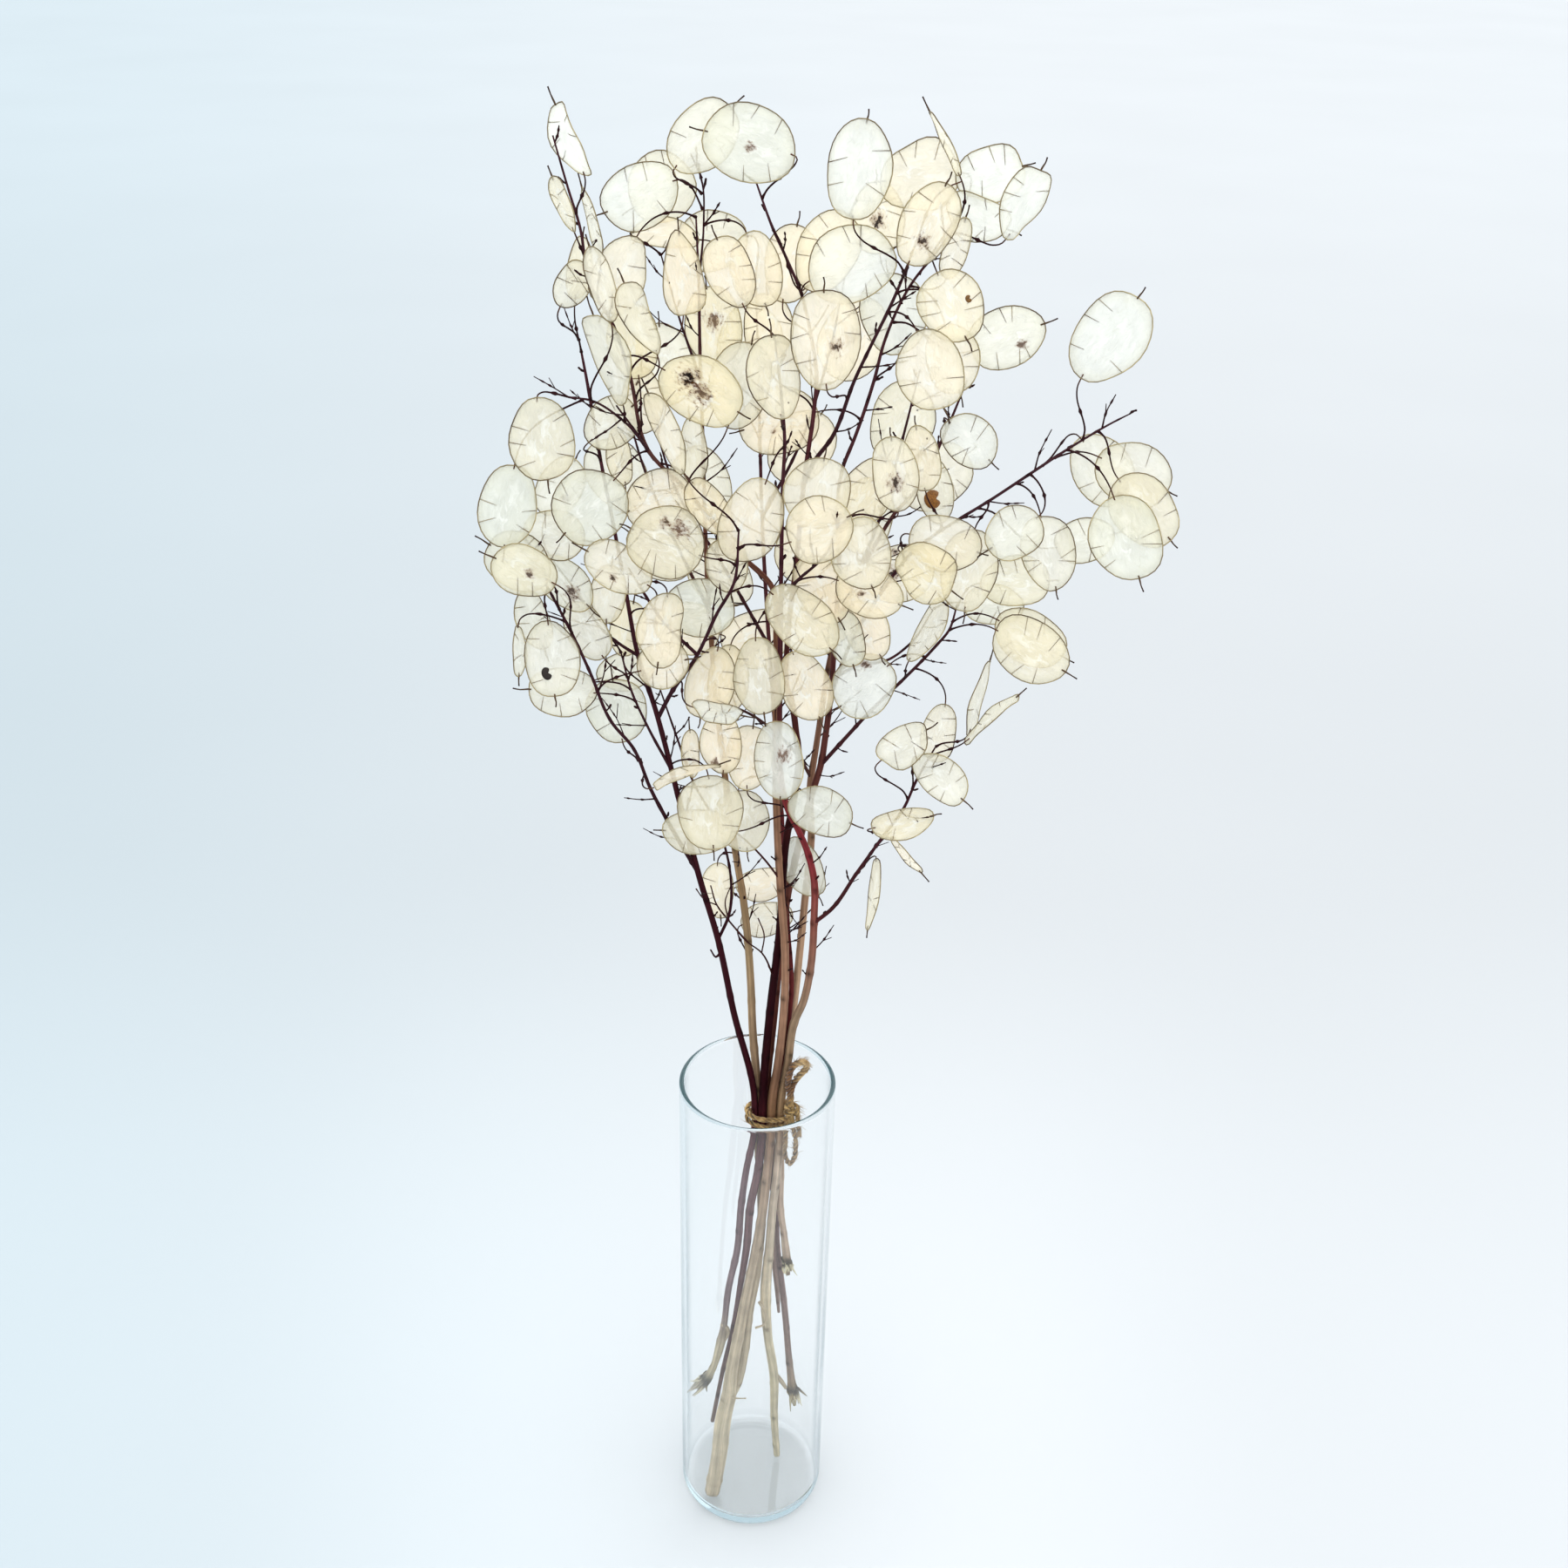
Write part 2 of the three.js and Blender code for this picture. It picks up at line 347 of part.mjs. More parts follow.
const near = (f, g) => size(minus(f.c, g.c)) < f.hl + g.hl + 2;

function podIsClear(f, pods, stalks) {
  for (const g of pods) {
    if (!near(f, g)) continue;
    if ([f.rim, f.middle, f.beak].some((chain) => blocked(g, chain, GAP))) return false;
    if ([g.rim, g.middle, g.beak].some((chain) => blocked(f, chain, GAP))) return false;
  }
  for (const line of LINES) {
    for (let i = 1; i < line.fine.length; i++) {
      const p = line.fine[i - 1];
      const q = line.fine[i];
      const middle = plus(p, minus(q, p), 0.5);
      if (size(minus(middle, f.c)) > f.hl + 12) continue;
      if (blocked(f, [p, middle, q], GAP + p[3])) return false;
      if (apart(f.beak, [p, q]) < p[3] + GAP) return false;
    }
  }
  return stalks.every((stalk) => !blocked(f, stalk.line, GAP + STALK.radius)
    && apart(f.beak, stalk.line) > 1.8);
}

const within = (t) => Math.min(1, Math.max(0, t));

// Shortest distance between two chains of straight spans.
function apart(first, second) {
  let least = Infinity;
  for (let i = 1; i < first.length; i++) {
    for (let j = 1; j < second.length; j++) {
      const p = first[i - 1];
      const q = second[j - 1];
      const u = minus(first[i], p);
      const v = minus(second[j], q);
      const w = minus(p, q);
      const [uu, uv, vv, uw, vw] = [dot(u, u), dot(u, v), dot(v, v), dot(u, w), dot(v, w)];
      const level = uu * vv - uv * uv;
      let t = level < 1e-9 ? 0 : within((uv * vw - vv * uw) / level);
      const k = within((uv * t + vw) / vv);
      t = within((uv * k - uw) / uu);
      least = Math.min(least, size(minus(plus(p, u, t), plus(q, v, k))));
    }
  }
  return least;
}

function stalkIsClear(path, f, root, pods, stalks) {
  if (blocked(f, path.slice(0, -2), 0.8)) return false;
  for (const g of pods) {
    if (size(minus(f.c, g.c)) > f.hl + g.hl + 45) continue;
    if (blocked(g, path, GAP + 0.2)) return false;
    if (apart(path, g.beak) < 1.8) return false;
  }
  for (const line of LINES) {
    const free = line.stem === root.stem ? path.filter((p) => size(minus(p, root.at)) > 6) : path;
    for (let i = 1; i < line.fine.length; i++) {
      const [q, r] = [line.fine[i - 1], line.fine[i]];
      if (size(minus(q, root.at)) > 60) continue;
      if (apart(free, [q, r]) < q[3] + STALK.radius + 0.8) return false;
    }
  }
  return stalks.every((other) => size(minus(other.line[0], root.at)) > 90
    || apart(path, other.line) > 2 * STALK.radius + 0.7);
}

// An arching stalk from a place on a stem to the pod's near end.
function stalkPath(root, f) {
  const end = surface(f, -1, 0);
  const far = size(minus(end, root.at));
  const out = unit(plus(unit(minus(end, root.at)), root.way, 0.7));
  const p = plus(root.at, out, 0.35 * far);
  const q = plus(end, f.a, -0.4 * far);
  const sunk = plus(end, f.a, 1.5);
  const path = [];
  for (let i = 0; i <= 6; i++) {
    const t = i / 6;
    const s = 1 - t;
    path.push([0, 1, 2].map((c) => s ** 3 * root.at[c] + 3 * s * s * t * p[c]
      + 3 * s * t * t * q[c] + t ** 3 * sunk[c]));
  }
  return path;
}

function stalkRoots(f) {
  const end = surface(f, -1, 0);
  const roots = [];
  for (const line of LINES) {
    for (let i = 1; i < line.fine.length; i++) {
      const at = line.spots[i];
      if (at[2] < VASE.height + 20) continue;
      const d = minus(end, at);
      const far = size(d);
      if (far < STALK.shortest || far > STALK.longest) continue;
      const way = unit(minus(at, line.spots[i - 1]));
      const cost = Math.abs(far - STALK.reach) + 12 * (1 - dot(d, f.a) / far)
        + 6 * (1 - dot(d, way) / far);
      roots.push({ at, way, cost, stem: line.stem });
    }
  }
  return roots.sort((p, q) => p.cost - q.cost).slice(0, 30);
}

// Each pod slides along the line of sight until it and a stalk for it are clear.
const pods = [];
const stalks = [];

function findPlace(row, number) {
  for (let k = 0; k < TRIES; k++) {
    const slide = STEP * Math.ceil(k / 2) * (k % 2 ? 1 : -1);
    const f = podFrame(number, row, row[2] + slide);
    if (!podIsClear(f, pods, stalks)) continue;
    for (const root of stalkRoots(f)) {
      const line = stalkPath(root, f);
      if (stalkIsClear(line, f, root, pods, stalks)) return { f, line, stem: root.stem };
    }
  }
  throw new Error(`pod ${number} finds no clear place`);
}

PODS.forEach((row, number) => {
  const { f, line, stem } = findPlace(row, number);
  pods.push({ ...f, stem });
  stalks.push({ line, stem });
});

// ---------- solids ----------
// Every solid starts as a three.js geometry whose vertices `place` moves to their spots.
function solid(geometry, place) {
  geometry.deleteAttribute('normal');
  geometry.deleteAttribute('uv');
  const spots = geometry.attributes.position;
  for (let i = 0; i < spots.count; i++) {
    spots.setXYZ(i, ...place(spots.getX(i), spots.getY(i), spots.getZ(i)));
  }
  const shape = mergeVertices(geometry, 1e-4);
  const corners = [];
  for (let i = 0; i < shape.index.count; i += 3) {
    const [p, q, r] = [0, 1, 2].map((c) => shape.index.getX(i + c));
    if (p !== q && q !== r && r !== p) corners.push(p, q, r);
  }
  return new wasm.Manifold(new wasm.Mesh({
    numProp: 3, vertProperties: shape.attributes.position.array, triVerts: Uint32Array.from(corners),
  }));
}

const asBuilt = (x, y, z) => [x, y, z];

// Rings for a rod along points [x, y, z, radius], turned as little as possible from `side`.
function rodRings(line, side) {
  let turned = side;
  return line.map((p, i) => {
    const way = unit(minus(line[Math.min(i + 1, line.length - 1)], line[Math.max(i - 1, 0)]));
    turned = unit(plus(turned, way, -dot(turned, way)));
    return { at: p, side: turned, face: cross(way, turned), wide: p[3], thick: p[3] };
  });
}

// A closed skin through rings; the four corners of a square ring lie at its width and thickness.
function skin(rings, sides) {
  const rows = rings.length - 1;
  const out = sides === 4 ? Math.SQRT2 : 1;
  const start = sides === 4 ? Math.PI / 4 : 0;
  const tube = new THREE.CylinderGeometry(out, out, 1, sides, rows, false, start);
  return solid(tube, (x, y, z) => {
    const ring = rings[Math.round((0.5 - y) * rows)];
    return plus(plus(ring.at, ring.side, x * ring.wide), ring.face, z * ring.thick);
  });
}

// A papery pod on its stalk, down to the beak at its far end, grown as one.
function podSolid(f, stalk) {
  const long = size(minus(stalk.line[6], stalk.line[0])) > STALK.reach + 8;
  const places = long ? [4, 2, 0] : [3, 0];
  const end = surface(f, -1, 0);
  const thin = [end, ...places.map((i) => stalk.line[i])].map((p) => [...p, 0.84 * STALK.radius]);
  const rings = rodRings(thin, f.b).reverse();
  for (const ring of rings) ring.face = ring.face.map((e) => -e);
  const flat = { side: f.b, face: f.n, thick: POD.thickness / 2 };
  rings[places.length] = { ...flat, at: end, wide: 0.5 };
  for (const x of POD.rows) {
    const wide = 1.04 * f.hw * (1 - x * x) ** 0.46;
    rings.push({ ...flat, at: surface(f, x, 0), wide });
  }
  rings.push({ ...flat, at: surface(f, 1, 0), wide: 0.6 });
  rings.push({ ...flat, at: f.beak[1], wide: 0, thick: 0 });
  return skin(rings, 4);
}

function stemSolid(number) {
  const parts = [];
  for (const line of LINES) {
    if (line.stem !== number) continue;
    parts.push(skin(rodRings(line.points, [0, 1, 0]), line.main ? 5 : 4));
  }
  pods.forEach((f, i) => {
    if (f.stem === number) parts.push(podSolid(f, stalks[i]));
  });
  return wasm.Manifold.union(parts);
}

// ---------- the vase ----------
// A plain glass cylinder: thick flat floor, small round heel, rounded rim.
function vaseSolid() {
  const { radius, height, wall, floor, heel } = VASE;
  const inner = radius - wall;
  const lip = wall / 2;
  const profile = new THREE.Path();
  profile.moveTo(0, 0);
  profile.lineTo(radius - heel, 0);
  profile.absarc(radius - heel, heel, heel, -Math.PI / 2, 0, false);
  profile.lineTo(radius, height - lip);
  profile.absarc(radius - lip, height - lip, lip, 0, Math.PI, false);
  profile.lineTo(inner, floor + 4);
  profile.absarc(inner - 4, floor + 4, 4, 0, -Math.PI / 2, true);
  profile.lineTo(0, floor);
  const lathe = new THREE.LatheGeometry(profile.getPoints(2), VASE.segments);
  return solid(lathe, (x, y, z) => [x, -z, y]);
}

// ---------- the twine ----------
// The round stems it goes about, where it holds them upright and side by side.
const held = LINES.filter((line) => line.main).map((line) => {
  const [x, y, , r] = line.points.find((p) => p[2] === 275);
  return [x - TIE.middle[0], y - TIE.middle[1], r];
});

// How far the twine's middle lies from the tie's own middle when drawn tight.
function drawnTight(angle) {
  let least = Infinity;
  for (let k = -40; k <= 40; k++) {
    const a = angle + rad(2 * k);
    const reaches = held.map(([x, y, r]) => x * Math.cos(a) + y * Math.sin(a) + r);
    least = Math.min(least, (Math.max(...reaches) + TIE.gap + TIE.radius) / Math.cos(a - angle));
  }
  return least;
}

const KNOT = { at: [16.9, -5.6, 273.4], half: [2.4, 2.3, 4] };
const [LOOP_UP, LOOP_DOWN, TAIL] = [
  [[17, 271, -5.6], [16.6, 279, -6.4], [15.8, 285, -8], [16.2, 292, -9.6], [19, 298.5, -10],
    [24, 300, -9.6], [24.6, 296.5, -8.6], [20.5, 290.5, -7.4], [17.6, 284, -6.6], [17.2, 273, -5.6]],
  [[16.6, 271, -5.6], [15.4, 261, -6.4], [14.9, 248, -6.6], [15.6, 237.5, -6.6], [17.3, 234.5, -6.4],
    [19.6, 238.5, -6], [20.3, 248, -5.6], [18.8, 259, -5.4], [17.3, 271, -5.4]],
  [[17, 273, -5.6], [19.6, 272.5, -6], [20.9, 266, -6.4], [21.5, 259, -6.4], [21.9, 253, -6.2]],
].map((loop) => loop.map(([u, v, y]) => seen(u, v, y)));

function strand(points, steps) {
  const corners = [];
  for (let i = 0; i < 5; i++) {
    const turn = 2 * i * Math.PI / 5;
    corners.push(new THREE.Vector2(TIE.radius * Math.cos(turn), TIE.radius * Math.sin(turn)));
  }
  const extrudePath = new THREE.CatmullRomCurve3(points.map((p) => new THREE.Vector3(...p)));
  const options = { steps, bevelEnabled: false, extrudePath };
  return solid(new THREE.ExtrudeGeometry(new THREE.Shape(corners), options), asBuilt);
}

function twineSolid() {
  const [cx, cy] = TIE.middle;
  const from = Math.atan2(KNOT.at[1] - cy, KNOT.at[0] - cx);
  const wrap = [KNOT.at];
  for (let i = 0; i <= 12 * TIE.turns; i++) {
    const angle = from - i * Math.PI / 6;
    const far = drawnTight(angle);
    wrap.push([cx + far * Math.cos(angle), cy + far * Math.sin(angle), TIE.low + TIE.pitch * i / 12]);
  }
  wrap.push(KNOT.at);
  const lump = solid(new THREE.IcosahedronGeometry(1, 1), (x, y, z) => [x, y, z].map(
    (e, c) => KNOT.at[c] + e * KNOT.half[c],
  ));
  return wasm.Manifold.union([
    lump, strand(wrap, 28), strand(LOOP_UP, 14), strand(LOOP_DOWN, 14), strand(TAIL, 4),
  ]);
}

// ---------- the bunch in its vase ----------
function piece(name, body, colour, roughness) {
  const { vertProperties, triVerts } = body.getMesh();
  const geometry = new THREE.BufferGeometry();
  geometry.setAttribute('position', new THREE.BufferAttribute(vertProperties, 3));
  geometry.setIndex(new THREE.BufferAttribute(triVerts, 1));
  const look = new THREE.MeshStandardMaterial({ color: colour, roughness, metalness: 0 });
  const mesh = new THREE.Mesh(geometry, look);
  mesh.name = name;
  return mesh;
}

const bunch = new THREE.Group();
bunch.name = 'honesty_seed_pod_stem';
bunch.add(piece('vase', vaseSolid(), COLOUR.glass, 0.08));
bunch.add(piece('twine', twineSolid(), COLOUR.twine, 0.95));
STEMS.forEach((stem, number) => {
  bunch.add(piece(stem.node, stemSolid(number), stem.colour, 0.8));
});

export default bunch;
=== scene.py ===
"""A bunch of dried honesty stems (Lunaria annua) tied with jute twine in a glass cylinder vase.

Run as a script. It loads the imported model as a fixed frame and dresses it: clear glass, twisted
jute, ridged dry stems, and papery pods set at the places that the frame's own solids hold.
Lengths in the tables are millimetres, and meshes are metres.
"""

import math
import random
from functools import cache

import bmesh
import bpy
import numpy as np
from bpy.props import FloatProperty, FloatVectorProperty, IntProperty, PointerProperty
from mathutils import Matrix, Vector
from mathutils.kdtree import KDTree


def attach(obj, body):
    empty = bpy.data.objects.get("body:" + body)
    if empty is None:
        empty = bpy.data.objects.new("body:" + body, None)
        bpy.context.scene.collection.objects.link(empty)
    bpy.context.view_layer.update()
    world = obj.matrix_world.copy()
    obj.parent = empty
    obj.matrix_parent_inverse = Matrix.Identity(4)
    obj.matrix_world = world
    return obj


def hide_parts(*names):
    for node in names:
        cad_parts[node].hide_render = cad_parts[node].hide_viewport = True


bl_info = {
    "name": "Dried honesty bunch",
    "version": (1, 0, 0),
    "blender": (4, 5, 0),
    "location": "3D View > Sidebar > Honesty",
    "description": "Dresses a tied bunch of dried honesty stems in a glass vase",
    "category": "Object",
}

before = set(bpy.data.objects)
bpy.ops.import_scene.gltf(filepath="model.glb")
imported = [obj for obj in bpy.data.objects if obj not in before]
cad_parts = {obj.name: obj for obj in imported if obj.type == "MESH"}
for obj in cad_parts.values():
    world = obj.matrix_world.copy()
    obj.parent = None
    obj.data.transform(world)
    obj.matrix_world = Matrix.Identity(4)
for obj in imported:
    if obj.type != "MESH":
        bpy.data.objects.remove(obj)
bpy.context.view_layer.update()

MM = 0.001
EYE = Vector((10, -730, 860))  # the standing viewer from whom the head of the bunch is set out
DEPTH_STEP = 3  # a pod gives way along the line of sight by this much at a time
DEPTH_TRIES = 26
BLADE = {"slimmest": 0.72, "bend": 1.8, "beak": 5.5}
TURNED = (5, 10)  # a pod's face is turned from the eye by at least so many degrees, and up to more
PLACE_OFF = 0.1  # how far a packed corner may lie from the tip of the beak that it belongs to
STALK_REACH = 16
STALK_LENGTHS = (7, 44)
STALK_RING = 0.5  # from the middle of a packed stalk to its corners
ROOTS_TRIED = 34
POD_WAY_COST, STEM_WAY_COST = 12, 6  # for a stalk that leaves against its pod's or stem's way
LOWEST_STALK = 308
LOWEST_SPINE = 345
HIGHEST_STALK = 715  # bare stalks above this height are short
TORN_FIBRES = 30
PALE_BELOW = 200  # side shoots lower than this have the pale skin of what the vase holds
MOST_CUTS = 60  # rows that one subdivision of a rod's blank makes

VASE = {"radius": 0.040, "height": 0.288, "wall": 0.0028, "floor": 0.006, "heel": 0.007,
        "inner_heel": 0.004, "melted": 0.48}
FLOOR_RINGS = (0.0015, 0.012)
WALL_RINGS = (0.0088, 0.0108, 0.014, 0.10, 0.19)
LIP_RINGS = (0.004, 0.0022)  # below the lip
TIE = {"low": 263.3, "pitch": 4.6, "turns": 2, "radius": 1.15, "gap": 0.85,
       "middle": (5.2, -1.2), "top": 275}
KNOT = Vector((16.9, -5.6, 273.4))
LOOPS = [  # the bow's upper and lower loop and its tail: u, v and depth
    [(17, 271, -5.6), (16.6, 279, -6.4), (15.8, 285, -8), (16.2, 292, -9.6), (19, 298.5, -10),
     (24, 300, -9.6), (24.6, 296.5, -8.6), (20.5, 290.5, -7.4), (17.6, 284, -6.6),
     (17.2, 273, -5.6)],
    [(16.6, 271, -5.6), (15.4, 261, -6.4), (14.9, 248, -6.6), (15.6, 237.5, -6.6),
     (17.3, 234.5, -6.4), (19.6, 238.5, -6), (20.3, 248, -5.6), (18.8, 259, -5.4),
     (17.3, 271, -5.4)],
    [(17, 273, -5.6), (19.6, 272.5, -6), (20.9, 266, -6.4), (21.5, 259, -6.4), (21.9, 253, -6.2)],
]
UPPER_LOOP = 2  # its place among the twine's paths
# what red, green and blue lose in the bow, as browner twine and painted shade, and gain in the loop
# inside the vase, partly as painted haze of the glass's reflection, and at the bow's tip, as a
# painted highlight
JUTE_SHIFTS = ((0.6, -0.04, 0.2), (0.74, 0.03, 0.28), (0.84, 0.55, 0.7))
POD_SIDES = 28
POD_RINGS = (0.2, 0.27, 0.28)
HOOP_CORD = 0.1
RIBS = 5  # round a stem
RIB_TWIST = 0.04  # radians for each millimetre along it
MARK_DARK = 0.75  # how much darker a leaf scar is in its middle
GROOVE_SHADE = 4.5  # painted shade and highlight: how much lighter a stem's ribs are painted than its grooves, for each part of their height
THREADS = {"missing": 0.24, "places": (-0.52, 0.0, 0.48), "spread": 0.22, "long": (5.4, 3.4),
           "radii": (0.27, 0.23, 0.2, 0.14)}
THREAD_TONES = ("#998a69", "#675542")
FULLNESS = 1.04  # a pod is a little squarer than an ellipse
STEM_TONES = {  # each plant's colour from its foot to its top: height in mm and colour; the darker stops around the tie, from about 190 to 300 mm, are partly the skin's colour and partly painted shade of the bunched stems
    "purple": ((80, "#c0b596"), (108, "#ada389"), (140, "#746365"), (225, "#6f595c"),
               (262, "#4a2026"), (290, "#2c070f"), (440, "#320f16"), (620, "#42222a")),
    "dark": ((50, "#6f5a4c"), (110, "#65494a"), (225, "#6f5556"), (262, "#3c151a"),
             (285, "#200308"), (420, "#26060b"), (480, "#48231f"), (600, "#54292d"),
             (690, "#42242a")),
    "brown": ((46, "#8f8062"), (90, "#7e6a60"), (225, "#80696a"), (265, "#5c3a30"),
              (330, "#64392f"), (440, "#5b332b"), (560, "#4e282c"), (680, "#42242a")),
    "red": ((10, "#b5ab8e"), (90, "#bab094"), (150, "#c4b79d"), (235, "#b5a492"), (262, "#8f7152"),
            (290, "#80684f"), (335, "#86705a"), (385, "#7c4c40"), (425, "#76292e"),
            (465, "#6c2a2c"), (490, "#4a2224"), (560, "#46212a"), (640, "#42242a")),
    "rust": ((127, "#806c62"), (225, "#846a64"), (262, "#57201f"), (400, "#5a2324"),
             (500, "#50282b"), (640, "#42242a")),
    "tan": ((8, "#b2a388"), (60, "#bcb096"), (120, "#b2a48c"), (190, "#a2917c"), (235, "#97806c"),
            (262, "#7c5c40"), (300, "#705240"), (335, "#8f6c56"), (450, "#83604a"),
            (560, "#643f33"), (680, "#42242a")),
    "olive": ((76, "#b2a68e"), (190, "#a5957e"), (235, "#98856f"), (262, "#8b7253"),
              (300, "#967c62"), (360, "#937b5c"), (450, "#86684c"), (560, "#643f33"),
              (680, "#42242a")),
    "pale": ((156, "#8c7a66"), (176, "#b09c88"), (225, "#b5a08e"), (262, "#a98d74"),
             (300, "#b0967e"), (360, "#a5856a"), (450, "#82604c"), (560, "#553330"),
             (640, "#42242a")),
}
BLACK = (0, 0, 0, 1)
TWIG, TWIG_PALE = "#2b1315", "#5d4032"
BEAK_TONES = ("#5d4a38", "#2f1f1c")
KNOT_TONE, ROOT_PITH = "#3d382c", "#4a4232"
ROOT_TONES = ("#ddd5b4", "#8b7c5c")
BRANCH_AGE = 90  # a side branch has the skin that its plant has this much further up
TORN = {  # where a plant was pulled up: its knot and the length and lean of the torn root fibres
    "stem_left_purple": (88, 12, (-0.75, 0.05, -1)), "stem_dark_right": (60, 12, (0.3, 0, -1)),
    "stem_pale": (166, 8, (0.25, -0.1, -1)),
}
SPURS = {  # bare side shoots low on the plants: u, v, depth and radius along each
    "stem_left_purple": [
        [[-17.5, 119, -9, 1.3], [-14.6, 116, -9, 1.2], [-15, 108, -9, 0.9], [-18, 103, -9, 0.6]]],
    "stem_pair_tan": [
        [[-12, 62, -18, 0.7], [-8, 61.4, -18, 0.5], [-3.4, 61.6, -18, 0.3]],
        [[3, 136, -9, 0.9], [6.6, 127, -9, 0.7], [5.6, 119, -9, 0.6], [1, 116.5, -9.6, 0.5]],
        [[-6, 372, 4, 0.5], [-15, 384, 2, 0.45], [-21, 393, 1, 0.4], [-24, 404, 0, 0.3]],
        [[-15, 384, 2, 0.4], [-17, 395, -2, 0.34], [-14, 405, -5, 0.28]],
        [[-21, 393, 1, 0.36], [-27, 396, -1, 0.32], [-31, 402, -2, 0.26]],
        [[9.3, 408, -8, 0.55], [1, 420, -13, 0.5], [-9, 431, -17, 0.42], [-18, 438, -19, 0.32]]],
    "stem_dark_middle": [
        [[7, 352, -5, 0.5], [1, 366, -9, 0.42], [-7, 373, -12, 0.38], [-13, 381, -13, 0.3]],
        [[1, 366, -9, 0.38], [2, 377, -12, 0.34], [-1, 386, -14, 0.28]]],
}
NO_MARK = (1, 1, 0.0001, 0)  # a stain far off the sheet
WHITE = (1, 1, 1, 1)
HOOP_TONES = ("#a89a74", "#55442f")
LAMPS = (("window_front", (-0.9, -1.6, 1.5), 0.2), ("window_back", (1.2, 1.5, 1.6), 0.3))
CAMERA_DIP = 28.7  # degrees below the horizon
CAMERA_ROLL = 1.33
SHEETS = {"bright": "#f7f9f6", "white": "#eff1ed", "cream": "#fff4de", "tan": "#f7eed1",
          "outer": "#f1efe5", "grey": "#ecede3", "dim": "#efe9d5"}
TINTS = {  # pods that stand out from their neighbours, by where they are seen: bright ones with painted light, dim ones with painted shade, and grey ones partly their own grey and partly painted shade
    "bright": [(-52, 722.5), (99.5, 723.5), (81.5, 718), (85.5, 734), (-79, 743.5), (34, 700),
               (45, 511.5)],
    "outer": [(-27, 745), (-12, 648)],
    "white": [(84.5, 626.3), (-21, 497), (7, 472.5), (35, 736), (138.5, 671.4), (50, 679)],
    "tan": [(-56, 665), (-23.4, 672), (-28, 645), (70, 567), (66, 441.5), (-30, 660), (-60.5, 537)],
    "grey": [(-9.2, 743.5), (-29, 548), (27.5, 446), (36.5, 534.5), (20, 416),
             (-110.5, 592.5), (-76, 593.5), (155, 588), (-66.4, 496.5)],
    "dim": [(118, 531), (117.5, 537), (161, 598), (-23.8, 444.5), (-2, 515), (-37.6, 583),
            (-30, 434), (-9, 440.5), (-43.2, 578), (-95, 622.5)],
}
CRUMPLED = [  # pods whose sheet has dried out of shape, by where they are seen
    (99.5, 723.5), (81.5, 718), (85.5, 734), (58, 732.5), (-79, 743.5), (-21, 497), (-36, 463),
    (-52.8, 675), (-66.4, 657.5), (-36, 692), (-61, 691.5), (-45.3, 537), (97.5, 508), (104, 497),
    (64.2, 482), (70, 567),
]
WRINKLED = 2.2  # how much further out of shape they are than the others
STAINS = [  # brown bloom with black dust: u, v, size in mm and how black its middle is
    (-33, 650, 5.6, 1.0), (-28.5, 644, 5.4, 0.4), (-37.5, 584, 4.4, 0.3), (-44, 587, 2.6, 0.6),
    (54, 607.4, 4.4, 0.8), (9.4, 475, 4.0, 0.2), (26.8, 665, 3.6, 0.7), (60, 708, 3.4, 0.8),
    (103, 667, 2.6, 0.4), (45, 522, 2.6, 0.5), (30, 545, 2.6, 0.4), (42, 715, 4.0, 0.9),
    (55.4, 566, 4.4, 0.9), (55.4, 575.6, 2.2, 0.8), (-23.4, 674, 4.4, 0.3), (34, 668, 4.2, 0.2),
    (-20, 640, 3.0, 0.4), (-64, 596.7, 2.0, 0.5), (-67, 560.5, 2.4, 0.8), (-86, 597, 3.4, 0.3),
    (-103, 562.4, 2.4, 0.6), (-54.5, 648, 1.6, 0.9), (-85, 553.5, 4.0, 0.6), (42, 556, 2.2, 0.6),
    (2.2, 629, 1.6, 0.5), (-22, 470, 3.0, 0.4), (150, 604, 2.0, 0.5), (-9, 742, 2.4, 0.3),
]

